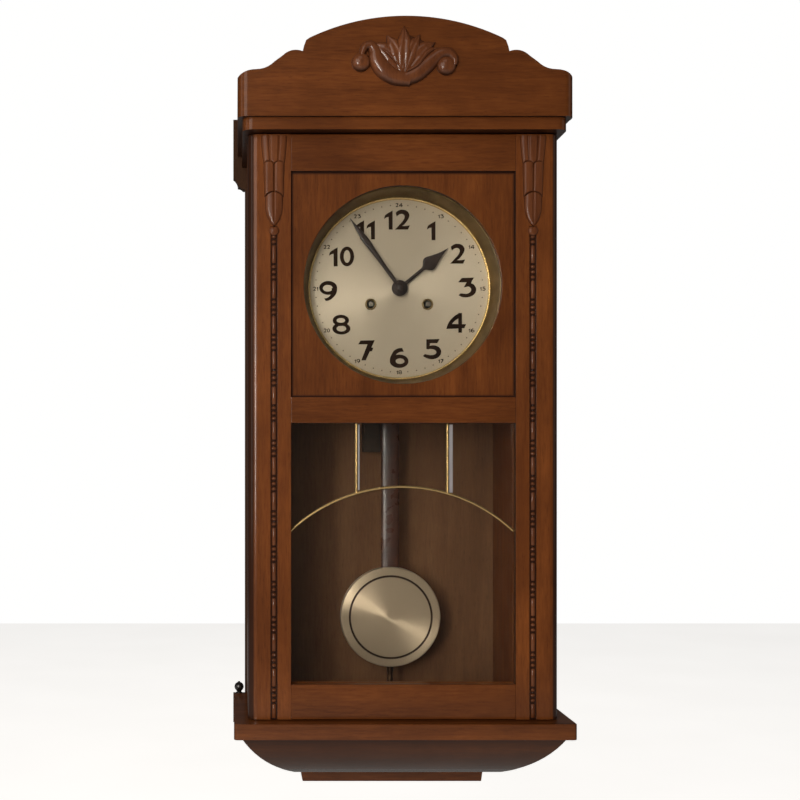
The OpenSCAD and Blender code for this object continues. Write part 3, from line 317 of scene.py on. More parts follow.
def wire(tree, kind, settings=None, **inputs):
    """Adds a node, sets its settings, sets or links its inputs by name or number (as _0, _1), and returns its
    outputs."""
    node = tree.nodes.new(kind)
    for key, value in (settings or {}).items():
        setattr(node, key, value)
    for key, value in inputs.items():
        socket = node.inputs[int(key[1:])] if key.startswith("_") else node.inputs[key.replace("_", " ")]
        if isinstance(value, bpy.types.NodeSocket):
            tree.links.new(value, socket)
        elif isinstance(socket, bpy.types.NodeSocketColor) and len(value) == 3:
            socket.default_value = (*value, 1.0)
        else:
            socket.default_value = value
    return node.outputs


def group(name, **inputs):
    """A new shader node group with its input sockets, and what its input node gives."""
    tree = bpy.data.node_groups.new(name, "ShaderNodeTree")
    for label, kind in inputs.items():
        tree.interface.new_socket(label.replace("_", " "), in_out="INPUT", socket_type="NodeSocket" + kind)
    return tree, wire(tree, "NodeGroupInput")


def given_out(tree, **outputs):
    """The group, ended with these outputs: Color is a colour and the others are numbers."""
    for label in outputs:
        kind = "NodeSocketColor" if label == "Color" else "NodeSocketFloat"
        tree.interface.new_socket(label, in_out="OUTPUT", socket_type=kind)
    wire(tree, "NodeGroupOutput", **outputs)
    return tree


def mixed(tree, share, a, b):
    """A colour between a and b."""
    return wire(tree, "ShaderNodeMix", {"data_type": "RGBA"}, _0=share, _6=a, _7=b)[2]


def spread(tree, value, low, high, to_low=0.0, to_high=1.0):
    """A value carried from one range to another and held there."""
    return wire(tree, "ShaderNodeMapRange", _0=value, _1=low, _2=high, _3=to_low, _4=to_high)[0]


def mathed(tree, operation, a, b=0.0):
    return wire(tree, "ShaderNodeMath", {"operation": operation}, _0=a, _1=b)[0]


def noise(tree, place, scale, detail, rough=0.5, bend=0.0):
    return wire(tree, "ShaderNodeTexNoise", Vector=place, Scale=scale, Detail=detail, Roughness=rough,
                Distortion=bend)[0]


def split(tree, vector):
    return wire(tree, "ShaderNodeSeparateXYZ", _0=vector)


def bump(tree, height, strength, distance):
    return wire(tree, "ShaderNodeBump", Height=height, Strength=strength, Distance=distance)[0]


def wood_grain_group():
    """Grain of stained wood: soft mottling, fine short fibres, faint pores and cloudy staining. Faces that
    turn to the sides or down take the shade colour as painted shade, and so do the places that the mask input
    marks (painted shade, and on the back panel's ears a darker staining); the same colour inks the pores."""
    tree, given = group(
        "Wood grain", Place="Vector", Fibre="Vector", Facing="Vector", Pale="Color", Dark="Color",
        Turned="Color", Cloud="Float", Stain="Float", Aside="Float")
    mottle = noise(tree, given["Fibre"], 55.0, 3.0, bend=0.5)
    fibres = noise(tree, given["Fibre"], 480.0, 4.0, 0.6)
    pore = spread(tree, noise(tree, given["Fibre"], 1300.0, 2.0), 0.58, 0.74)
    cloud = noise(tree, given["Place"], 13.0, 4.0, 0.6)
    grain = mathed(tree, "ADD", spread(tree, mottle, 0.3, 0.7, 0.0, 0.55),
                   spread(tree, fibres, 0.3, 0.7, 0.0, 0.45))
    base = mixed(tree, grain, given["Dark"], given["Pale"])
    stained = mixed(tree, mathed(tree, "MULTIPLY", spread(tree, cloud, 0.38, 0.68), given["Cloud"]), base,
                    given["Dark"])
    inked = mixed(tree, mathed(tree, "MULTIPLY", pore, 0.3), stained, given["Turned"])
    # Painted shade: faces that turn sideways or down, and the masked places, take the shade colour.
    facing = split(tree, given["Facing"])
    sideways = mathed(tree, "MULTIPLY", spread(tree, mathed(tree, "ABSOLUTE", facing[0]), 0.6, 1.0),
                      given["Aside"])
    downwards = spread(tree, mathed(tree, "MULTIPLY", facing[2], -1.0), 0.3, 0.95, 0.0, 0.9)
    turn = mathed(tree, "MAXIMUM", mathed(tree, "MAXIMUM", sideways, downwards), given["Stain"])
    return given_out(
        tree, Color=mixed(tree, turn, inked, given["Turned"]),
        Roughness=mathed(tree, "ADD", spread(tree, fibres, 0.3, 0.7, 0.46, 0.58),
                         spread(tree, cloud, 0.3, 0.7, 0.0, 0.1)),
        Height=mathed(tree, "SUBTRACT", mathed(tree, "MULTIPLY", fibres, 0.5), pore))


def tarnish_group():
    """Dull patches and fine scratches of metal: a share of tarnish, a roughness and a height."""
    tree, given = group("Tarnish", Place="Vector", Rough_low="Float", Rough_high="Float")
    patch = noise(tree, given["Place"], 45.0, 5.0, 0.6)
    return given_out(
        tree, Share=spread(tree, patch, 0.42, 0.72),
        Roughness=spread(tree, patch, 0.3, 0.7, given["Rough low"], given["Rough high"]),
        Height=noise(tree, given["Place"], 900.0, 3.0))


def brushing_group():
    """Fine rings of a turned metal face round an axis along Y: the noise of the distance from the centre, a
    cloud, and that distance itself."""
    tree, given = group("Turned rings", Place="Vector")
    x, _, z = split(tree, given["Place"])
    flat = wire(tree, "ShaderNodeCombineXYZ", X=x, Y=z)[0]
    reach = wire(tree, "ShaderNodeVectorMath", {"operation": "LENGTH"}, _0=flat)["Value"]
    rings = wire(tree, "ShaderNodeTexNoise", {"noise_dimensions": "1D"}, W=reach, Scale=2600.0, Detail=3.0)
    return given_out(tree, Ring=rings[0], Cloud=noise(tree, given["Place"], 30.0, 4.0), Reach=reach)


BUILT = {}


def once(make, *given):
    """What make builds, built once."""
    if (make, given) not in BUILT:
        BUILT[make, given] = make(*given)
    return BUILT[make, given]


def finish(name):
    """A material by its name."""
    return once(MAKERS[name], name)


def use_group(tree, make, **inputs):
    """Places a node group in a tree."""
    return wire(tree, "ShaderNodeGroup", {"node_tree": once(make)}, **inputs)


def fresh(name):
    """A new material with an empty tree, and its Object coordinates."""
    material = bpy.data.materials.new(name)
    material.use_nodes = True
    tree = material.node_tree
    tree.nodes.clear()
    return material, tree, wire(tree, "ShaderNodeTexCoord")["Object"]


def shaded(material, **inputs):
    """The material, ended with a shader that has these inputs."""
    shader = wire(material.node_tree, "ShaderNodeBsdfPrincipled", **inputs)[0]
    wire(material.node_tree, "ShaderNodeOutputMaterial", Surface=shader)
    return material


def stained_wood(name, kind, grain, coat=0.5, relief=0.2, stain=None, shine=0.08, aside=0.3):
    """Stained and varnished wood with its grain along one axis. The function given for the mask puts a mask
    of
    darkening in the tree: painted shade on most boards, and on the back panel also its dark-stained ears."""
    material, tree, coords = fresh(name)
    squeeze = {"x": (0.09, 1, 1), "z": (1, 1, 0.09)}[grain]
    grown = use_group(
        tree, wood_grain_group, Place=coords, Cloud=0.55, Aside=aside,
        Fibre=wire(tree, "ShaderNodeMapping", Vector=coords, Scale=squeeze)[0],
        Facing=wire(tree, "ShaderNodeTexCoord")["Normal"],
        Pale=tinted(kind + "_pale"), Dark=tinted(kind + "_dark"), Turned=tinted("wood_turned"),
        Stain=stain(tree, coords) if stain else 0.0)
    return shaded(material, Base_Color=grown["Color"], Roughness=grown["Roughness"], Coat_Weight=coat,
                  Coat_Roughness=0.15, Specular_IOR_Level=shine,
                  Normal=bump(tree, grown["Height"], relief, 0.0002))


def recess_stain(front, deep, most):
    """Painted shade in the hollows of a carved or grooved face: it grows from the depth front to the depth
    deep.
    """
    return lambda tree, coords: spread(tree, split(tree, coords)[1], front * MM, deep * MM, 0.0, most)


def panel_stain(tree, coords):
    """Painted shade along the border of the dial panel."""
    low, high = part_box("dial_panel")
    at = split(tree, coords)
    edges = []
    for axis in (0, 2):
        mid, half = (low[axis] + high[axis]) / 2, (high[axis] - low[axis]) / 2
        away = mathed(tree, "ABSOLUTE", mathed(tree, "SUBTRACT", at[axis], mid))
        edges.append(spread(tree, away, half - 3 * MM, half - 0.9 * MM, 0.0, 0.9))
    return mathed(tree, "MAXIMUM", *edges)


def hull_stain(tree, coords):
    """Painted shade on the hull moulding: a little darker all over and darkest at its top, under the shelf.
    """
    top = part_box("base_hull")[1].z
    return spread(tree, split(tree, coords)[2], top - 20 * MM, top - 3 * MM, 0.2, 0.75)


def ear_stain(tree, coords):
    """The back panel is stained dark where it shows beside the case; its darkening a little towards the right
    is painted shade.
    """
    x = split(tree, coords)[0]
    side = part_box("side_right")[1].x
    ears = spread(tree, mathed(tree, "ABSOLUTE", x), side - 4 * MM, side - 2 * MM, 0.0, 0.75)
    return mathed(tree, "MAXIMUM", ears, spread(tree, x, 0.01, 0.10, 0.0, 0.28))


def metal(name, tint, metallic=1.0, rough=(0.3, 0.5), dull=0.7, relief=0.05):
    """Metal with duller patches and fine scratches."""
    material, tree, coords = fresh(name)
    worn = use_group(tree, tarnish_group, Place=coords, Rough_low=rough[0], Rough_high=rough[1])
    return shaded(material, Base_Color=mixed(tree, worn["Share"], tinted(tint), tinted(tint, dull)),
                  Metallic=metallic, Roughness=worn["Roughness"],
                  Normal=bump(tree, worn["Height"], relief, 0.0001))


def turned_metal(name, tint, centre, metallic, rough, turning, cloudy=0.12, line=None):
    """Metal brushed in rings round a centre, with highlights stretched across the rings. A line, given
    as its radius and half its width in millimetres, is coloured dark brown."""
    material, tree, coords = fresh(name)
    local = wire(tree, "ShaderNodeMapping", Vector=coords, Location=tuple(-c * MM for c in centre))[0]
    rings = use_group(tree, brushing_group, Place=local)
    shade = spread(tree, rings["Cloud"], 0.3, 0.7, 0.0, cloudy)
    base = mixed(tree, shade, tinted(tint), tinted(tint, 0.6))
    if line:
        away = mathed(tree, "ABSOLUTE", mathed(tree, "SUBTRACT", rings["Reach"], line[0] * MM))
        base = mixed(tree, spread(tree, away, line[1] * MM, (line[1] + 0.2) * MM, 1.0, 0.0), base,
                     tinted("groove_brown"))
    tangent = wire(tree, "ShaderNodeTangent", {"direction_type": "UV_MAP", "uv_map": "turning"})[0]
    return shaded(material, Base_Color=base, Metallic=metallic, Anisotropic=turning, Tangent=tangent,
                  Roughness=spread(tree, rings["Ring"], 0.3, 0.7, rough - 0.04, rough + 0.04),
                  Normal=bump(tree, rings["Ring"], 0.04, 0.00005))


def clear_glass(name, tint, rough=0.0, painted_reflection=0.0):
    """Glass that lets light through: clear for shadow rays, and glass for all others. A share of it can be
    pale frosted glass instead, as a painted reflection.
    """
    material, tree, coords = fresh(name)
    waves = bump(tree, noise(tree, coords, 9.0, 2.0), 0.05, 0.0004)
    glass = wire(tree, "ShaderNodeBsdfPrincipled", Base_Color=tinted(tint), Roughness=rough, IOR=1.45,
                 Transmission_Weight=1.0 - painted_reflection, Normal=waves)
    clear = wire(tree, "ShaderNodeBsdfTransparent", Color=tinted(tint))
    shadow = wire(tree, "ShaderNodeLightPath")["Is Shadow Ray"]
    both = wire(tree, "ShaderNodeMixShader", _0=shadow, _1=glass[0], _2=clear[0])
    wire(tree, "ShaderNodeOutputMaterial", Surface=both[0])
    return material


def lacquered(name, tint, rough, relief, coat=0.5, fine=480.0):
    """Lacquer with small pits and runs; fine is the scale of the pits."""
    material, tree, coords = fresh(name)
    patch = noise(tree, coords, 60.0, 3.0)
    base = mixed(tree, spread(tree, patch, 0.35, 0.7), tinted(tint), tinted(tint, 0.6))
    return shaded(material, Base_Color=base, Roughness=spread(tree, patch, 0.3, 0.7, rough, rough + 0.1),
                  Coat_Weight=coat, Specular_IOR_Level=coat, Coat_Roughness=0.12,
                  Normal=bump(tree, noise(tree, coords, fine, 3.0), relief, 0.0003))


MAKERS = {
    "wood_upright": lambda n: stained_wood(n, "wood", "z"),
    "wood_level": lambda n: stained_wood(n, "wood", "x"),
    # The sides and the seat board take a share of the shade colour all over: painted shade.
    "wood_side": lambda n: stained_wood(n, "wood", "z", coat=0.4, stain=lambda tree, coords: 0.4, aside=0.1),
    "wood_hull": lambda n: stained_wood(n, "wood", "x", coat=0.6, stain=hull_stain, shine=0.1),
    # The masks of the stiles, the carving, the drops and the beads put painted shade in the hollows.
    "wood_stile": lambda n: stained_wood(
        n, "stile", "z", aside=0.0, stain=recess_stain(DOOR_Y + 0.8, DOOR_Y + 1.4, 0.85)),
    "wood_panel": lambda n: stained_wood(n, "wood", "z", stain=panel_stain),
    "wood_back": lambda n: stained_wood(n, "back", "z", coat=0.05, stain=ear_stain),
    "wood_carved": lambda n: stained_wood(
        n, "carving", "z", coat=0.6, relief=0.5, stain=recess_stain(CREST_Y - 4, CREST_Y, 0.8)),
    "wood_drops": lambda n: stained_wood(
        n, "carving", "z", coat=0.3, stain=recess_stain(DOOR_Y - 1.6, DOOR_Y, 0.8)),
    "wood_beads": lambda n: stained_wood(
        n, "carving", "z", stain=recess_stain(DOOR_Y + 0.3, DOOR_Y + 1.2, 0.9)),
    "black_varnish": lambda n: lacquered(n, "black", 0.2, 0.1),
    "rod_lacquer": lambda n: lacquered(n, "lacquer", 0.25, 0.6, 0.55, 900.0),
    "numeral_paint": lambda n: lacquered(n, "print_brown", 0.7, 0.1, 0.0),
    "hand_finish": lambda n: lacquered(n, "hand_brown", 0.4, 0.1, 0.25),
    "gong_iron": lambda n: lacquered(n, "iron", 0.5, 0.3, 0.1),
    "dial_silver": lambda n: turned_metal(n, "silver", DIAL, 0.42, 0.42, 0.75),
    "bob_brass": lambda n: turned_metal(
        n, "pale_brass", BOB, 0.6, 0.34, 0.95, 0.08, (BOB_R * GROOVE_SHARE, 1.0)),
    "surround_brass": lambda n: metal(n, "old_brass", rough=(0.36, 0.5), dull=0.6),
    "bright_brass": lambda n: metal(n, "brass", rough=(0.18, 0.35), dull=0.55),
    "brass_line": lambda n: metal(n, "brass", metallic=0.75, rough=(0.2, 0.28), dull=0.88, relief=0.02),
    "bare_steel": lambda n: metal(n, "steel"),
    "arbor_steel": lambda n: metal(n, "arbor_steel"),
    "dark_bronze": lambda n: metal(n, "bronze", dull=0.5),
    "window_glass": lambda n: clear_glass(n, "glass"),
    # The bevels' pale frosted share is a painted reflection beside the cames.
    "bevel_glass": lambda n: clear_glass(n, "bevel", rough=0.35, painted_reflection=0.35),
}


# Operators


def shown(cls):
    """Gives an operator its undo option."""
    cls.bl_options = {"REGISTER", "UNDO"}
    return cls


@shown
class CLOCK_OT_stage(bpy.types.Operator):
    """Makes the camera, the lights, the pale surroundings and the floor"""

    bl_idname = "clock.stage"
    bl_label = "Camera, lights and floor"

    def execute(self, context):
        scene = context.scene
        scene.view_settings.view_transform = "Standard"
        camera = bpy.data.objects.new("camera", bpy.data.cameras.new("camera"))
        camera.location = EYE
        camera.rotation_euler = (pi / 2, 0, 0)
        camera.data.sensor_width = FILM
        camera.data.lens = FOCAL_PX / PHOTO_PX * FILM
        camera.data.shift_x = 0.5 - AXIS_PX[0] / PHOTO_PX
        camera.data.shift_y = AXIS_PX[1] / PHOTO_PX - 0.5
        scene.collection.objects.link(camera)
        scene.camera = camera
        for name, spot, size, power in (
            ("window_light", (-0.95, -2.3, -0.2), (0.25, 0.65), 14.0),
            ("left_light", (-2.3, -0.9, 0.1), (0.8, 1.4), 4.0),
            ("right_light", (2.3, -0.7, 0.1), (0.8, 1.4), 2.0),
            ("back_light", (0.3, 2.2, 2.0), (1.5, 1.5), 14.0),
            ("soft_light", (-1.1, -2.4, 0.5), (1.6, 1.6), 21.0),
            ("top_light", (-0.2, -2.0, 1.7), (1.0, 1.0), 3.0),
        ):
            light = bpy.data.objects.new(name, bpy.data.lights.new(name, "AREA"))
            light.data.energy = power
            light.data.shape = "RECTANGLE"
            light.data.size, light.data.size_y = size
            light.data.color = (1.0, 0.94, 0.86)
            light.location = spot
            aim = np.array([0.0, -0.1, -0.35]) - np.array(spot)
            light.rotation_mode = "QUATERNION"
            light.rotation_quaternion = Vector(aim).to_track_quat("-Z", "Y")
            scene.collection.objects.link(light)
        self.surroundings(scene)
        level = CAD_BOX[0].z - FLOOR_DROP
        floor = bpy.data.meshes.new("floor")
        square = [(-4, -2.7, level), (4, -2.7, level), (4, 4, level), (-4, 4, level)]
        floor.from_pydata(square, [], [(0, 1, 2, 3)])
        material, tree, coords = fresh("floor_paint")
        speck = spread(tree, noise(tree, coords, 3.0, 3.0), 0.3, 0.7, 0.0, 0.15)
        base = mixed(tree, speck, tinted("floor"), (0.7, 0.69, 0.67))
        rays = wire(tree, "ShaderNodeLightPath")
        glow = mathed(tree, "ADD", mathed(tree, "MULTIPLY", rays["Is Camera Ray"], 0.97),
                      mathed(tree, "MULTIPLY", rays["Is Glossy Ray"], 0.13))
        floor.materials.append(shaded(
            material, Base_Color=base, Roughness=0.8, Emission_Color=base, Emission_Strength=glow))
        ground = bpy.data.objects.new("floor", floor)
        scene.collection.objects.link(ground)
        return {"FINISHED"}

    def surroundings(self, scene):
        """A pale background, a softer light from all round and a dim room in the reflections."""
        scene.world = bpy.data.worlds.new("room")
        scene.world.use_nodes = True
        tree = scene.world.node_tree
        tree.nodes.clear()
        rays = wire(tree, "ShaderNodeLightPath")
        lit = mixed(tree, rays["Is Glossy Ray"], (0.08, 0.078, 0.076), (0.05, 0.049, 0.047))
        seen = mixed(tree, rays["Is Camera Ray"], lit, (1.0, 1.0, 0.995))
        sky = wire(tree, "ShaderNodeBackground", Color=seen, Strength=1.0)[0]
        wire(tree, "ShaderNodeOutputWorld", Surface=sky)


def softened(node, wood, body, width):
    """A copy of a board with its doubles merged and its sharp edges rounded."""
    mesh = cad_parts[node].data.copy()
    shape = bmesh.new()
    shape.from_mesh(mesh)
    bmesh.ops.remove_doubles(shape, verts=shape.verts, dist=1e-6)
    bmesh.ops.dissolve_limit(shape, angle_limit=radians(0.5), verts=shape.verts, edges=shape.edges)
    shape.to_mesh(mesh)
    shape.free()
    piece = place(node + "_wood", mesh, wood, body, "walnut", (node,))
    rounding = piece.modifiers.new("rounding", "BEVEL")
    rounding.width = width
    rounding.segments = 3
    rounding.limit_method = "ANGLE"
    rounding.angle_limit = radians(40)
    weighting = piece.modifiers.new("flat faces", "WEIGHTED_NORMAL")
    weighting.keep_sharp = False


@shown
class CLOCK_OT_boards(bpy.types.Operator):
    """Rounds the edges of the boards and gives them their grain"""

    bl_idname = "clock.boards"
    bl_label = "Boards of the case and the door"

    def execute(self, context):
        edge = sizes().edge_round
        for wood, body, width, nodes in (
            ("wood_level", "case", edge,
             ("top_board", "crest_board", "cap_boards", "shelf_board", "base_block")),
            ("wood_hull", "case", edge, ("base_hull",)),
            ("wood_side", "case", edge, ("side_left", "side_right", "seat_board")),
            ("wood_back", "case", edge, ("back_panel",)),
            ("wood_level", "door", 0.8 * MM, ("top_rail", "middle_rail", "bottom_rail")),
            ("wood_stile", "door", 0.8 * MM, ("stile_left", "stile_right")),
            ("wood_panel", "door", 0.5 * MM, ("dial_panel",)),
        ):
            for node in nodes:
                softened(node, wood, body, width)
        return {"FINISHED"}


@shown
class CLOCK_OT_crest_carving(bpy.types.Operator):
    """Carves the scrolls and the fan of leaves on the crest"""

    bl_idname = "clock.crest_carving"
    bl_label = "Carving of the crest"

    def execute(self, context):
        rise = sizes().carving_rise / MM
        foot = CREST_TOP - 67.6
        carving = Surface()

        def lay(knots, widths, heights, rows=40, vein=0.0):
            """A strap whose width and height change evenly between the values given."""
            path = flow([(x, foot + z) for x, z in knots], rows)
            s = np.linspace(0, 1, rows)
            w = np.interp(s, np.linspace(0, 1, len(widths)), widths)
            h = np.interp(s, np.linspace(0, 1, len(heights)), heights) * rise
            carving.grid(strap(path, w, h, CREST_Y, vein=vein), caps=True)

        lay([(4, 4.6), (-12, 7.5), (-22, 14.5), (-29, 24), (-31, 32), (-35, 37.5), (-41, 36), (-44.5, 27)],
            [15, 17, 19, 17, 13, 11, 9, 5], [0.7, 0.8, 0.85, 0.85, 0.8, 0.8, 0.8, 0.7], rows=64)
        lay([(-4, 4.9), (9, 9.6), (19.1, 18), (26.7, 24.8), (34.2, 29.8), (41.8, 29.8), (46.8, 24.8),
             (47.7, 18)],
            [15, 16.5, 17, 15, 13, 12, 9, 5], [0.7, 0.8, 0.85, 0.85, 0.9, 0.9, 0.8, 0.7], rows=64)
        lay([(0, 8), (0, 22), (1, 34), (-2, 47)], [30, 54, 50, 10], [0.3, 0.5, 0.5, 0.2], rows=30)
        lay([(-8.6, 18), (-18.7, 29), (-27.1, 34.8)], [3, 4, 1.5], [0.8, 0.95, 0.5])
        lay([(-0.2, 11.3), (10.7, 18), (18.3, 28.1), (25, 33), (31.5, 34.5)], [4, 6, 7, 6, 2],
            [0.8, 0.95, 0.95, 0.8, 0.3])
        for x, z, r in ((-44.7, 21.4, 9.2), (39.3, 18.0, 9.4)):
            knob = [(0.0, 0.9 * rise)] + [
                (r * sin(a), rise * 0.9 * cos(a) ** 0.7) for a in np.linspace(0.15, 1.5, 12)]
            knob += [(r + 0.1, -SINK), (0.0, -SINK)]
            carving.grid(turned(knob, (x, CREST_Y, foot + z), 48))
        for vein, knots, widths, heights in (
            (0.2, [(-2.7, 6), (-2.7, 29.8), (-1.9, 42.4), (-2.3, 56.7)], [15, 21, 16, 0.8],
             [0.4, 1.0, 0.9, 0.4]),
            (0.15, [(-1.9, 14), (3.6, 29.8), (8, 39), (13.2, 48.3)], [13, 19, 14, 0.8],
             [0.6, 0.9, 0.85, 0.4]),
            (0.15, [(2, 15), (11, 27), (19.1, 35.5), (28.3, 40.7)], [13, 22, 15, 0.8],
             [0.5, 0.75, 0.7, 0.35]),
            (0.15, [(-4, 14), (-9.2, 29.8), (-14, 39.5), (-19.5, 47.4)], [13, 20, 15, 0.8],
             [0.6, 0.88, 0.8, 0.4]),
            (0.15, [(-7, 15), (-14.5, 26), (-23, 34.5), (-34.7, 39)], [13, 20, 16, 0.8],
             [0.5, 0.7, 0.65, 0.35]),
        ):
            lay(knots, widths, heights, vein=vein)
        place("crest_carving_relief", carving, "wood_carved", "case", "carved_walnut", ("crest_carving",),
              smooth=50)
        return {"FINISHED"}


@shown
class CLOCK_OT_drops(bpy.types.Operator):
    """Carves the three tiers of petals at the top of each stile"""

    bl_idname = "clock.drops"
    bl_label = "Carved drops"

    def execute(self, context):
        rise = sizes().drop_rise / MM
        wide = 13.0
        outer, _, top = corners("carved_drops")[1]
        line = outer - wide
        carving = Surface()
        t, s = np.meshgrid(np.linspace(-1, 1, 41), np.linspace(0, 1, 60))
        edge = (1 - np.abs(t) ** 8) ** 0.5

        def tier(x, z0, z1, half, height, flutes, top_edge=0.0, low_edge=0.0):
            """A tier of petals from z0 down to z1: its sides lie half beside the line, its ends are moved by
            top_edge and low_edge, its height falls towards the lower end and sinks at it, and flutes takes a
            share of it away."""
            z = z0 + top_edge + (z1 + low_edge - z0 - top_edge) * s
            sunk = 1 - 0.3 * s - 0.65 * np.exp(-(((z - z1 - low_edge) / 1.3) ** 2)) * (np.ndim(low_edge) > 0)
            carving.grid(relief(x + half * t, z, height * sunk * edge * (1 - flutes), DOOR_Y), caps=True)

        pair = (1 - (2 * np.abs(t) - 1) ** 2).clip(0) ** 0.5
        arch = 1 - t**2
        for side in (-1, 1):
            x = side * line
            leaf = 8.8 * (1 - ((s - 0.3) / 0.7).clip(0) ** 2).clip(0.002) ** 0.75
            tier(x, top, top - 30, wide - 2.8 * s**1.5, rise * 0.85,
                 0.6 * np.exp(-(((np.abs(t) - 0.38) / 0.07) ** 2)) + 0.15 * t**2, low_edge=3.5 * pair)
            tier(x, top - 29.8, top - 61.5, 10.6 - 1.0 * s, rise * 0.95, 0.8 * (1 - pair) ** 2,
                 top_edge=3.5 * pair, low_edge=4.5 * arch)
            tier(x, top - 61.3, top - 90, leaf, rise, 0.3 * np.exp(-((t / 0.1) ** 2)) + 0.35 * t**2,
                 top_edge=4.5 * arch)
            a = np.linspace(0, 2 * pi, 33)[:-1]
            reach = 5.2 * (1 - 0.3 * np.exp(-(((a - pi / 2) / 0.35) ** 2)))
            reach = reach * (1 + 0.12 * np.exp(-(((a - 1.5 * pi) / 0.3) ** 2)))
            level = np.linspace(0, 1, 9)[:, None]
            out = reach * np.sin(level * pi / 2)
            proud = rise * 0.7 * np.cos(level * pi / 2) ** 0.8 - 2.3 * (level == 1) + 0 * a
            carving.grid(np.stack([x + out * np.cos(a), DOOR_Y - proud, top - 94.6 + out * np.sin(a)], -1),
                         caps=True)
        place("carved_drops_relief", carving, "wood_drops", "door", "carved_walnut", ("carved_drops",),
              smooth=50)
        return {"FINISHED"}


@shown
class CLOCK_OT_bead_strips(bpy.types.Operator):
    """Turns the bead and reel strips in the grooves of the stiles"""

    bl_idname = "clock.bead_strips"
    bl_label = "Bead and reel strips"

    def execute(self, context):
        (_, front, foot), (outer, back, top) = corners("bead_strips")
        r = back - front
        line = outer - r
        pitch = sizes().reel_pitch / MM
        bead = 5.2
        reel = pitch - 3 * bead
        length = top - foot
        s = np.linspace(0, 1, 11)
        ball = (np.sin(pi * (s - 0.13).clip(0, 0.74) / 0.74)).clip(0) ** 0.55
        round_bead = np.stack([r * (0.30 + 0.65 * ball), s * bead], 1)
        straight = np.array([(0.30, 0), (0.30, 0.03), (0.72, 0.05), (0.88, 0.09), (0.90, 0.5), (0.88, 0.91),
                             (0.72, 0.95), (0.30, 0.97), (0.30, 1)]) * (r, reel)
        order = [(round_bead, bead)] * 2
        order += ([(straight, reel)] + [(round_bead, bead)] * 3) * int(length / pitch + 1)
        starts = np.cumsum([0] + [part_len for _, part_len in order])
        run = [part + (0, z) for (part, part_len), z in zip(order, starts) if z + part_len <= length + 0.5]
        rest = length - starts[len(run)] - 0.2
        if rest > 2:
            run.append(straight * (1, rest / reel) + (0, starts[len(run)]))
        profile = np.concatenate(run)
        profile[:, 1] = top - profile[:, 1]
        strips = Surface()
        for side in (-1, 1):
            strips.grid(turned(profile, (side * line, back, 0.0), 13, upright=True, half=True), caps=True)
        place("bead_strips_turned", strips, "wood_beads", "door", "carved_walnut", ("bead_strips",),
              smooth=60)
        return {"FINISHED"}


@shown
class CLOCK_OT_finials(bpy.types.Operator):
    """Turns the two black finials of the lower ears"""

    bl_idname = "clock.finials"
    bl_label = "Finials"

    def execute(self, context):
        (_, front, foot), (outer, back, top) = corners("ear_finials")
        r = (back - front) / 2
        tall = top - foot
        profile = [(0, 0), (r * 0.7, 0), (r * 0.74, 0.6), (r * 0.7, 1.3), (r * 0.45, 2.2),
                   *arc(0, tall * 0.55, r, r, -0.9, 1.25, 16), (r * 0.22, tall * 0.96), (0, tall)]
        finials = Surface()
        for side in (-1, 1):
            finials.grid(turned(profile, (side * (outer - r), (front + back) / 2, foot), 48, upright=True))
        place("ear_finials_turned", finials, "black_varnish", "case", "black_wood", ("ear_finials",),
              smooth=40)
        return {"FINISHED"}


def stroke(a, b, n=16):
    """A stroke between two smooth lines, each given by its knots' X and Z in turn."""
    return [flow(np.reshape(edge, (-1, 2)) / 1000, n) for edge in (a, b)]


def ring_stroke(*rings):
    """A stroke between two ellipses, each given by its centre and its two half widths."""
    return [np.array(arc(*(np.array(values) / 1000), 0, 2 * pi, 33)) for values in rings]


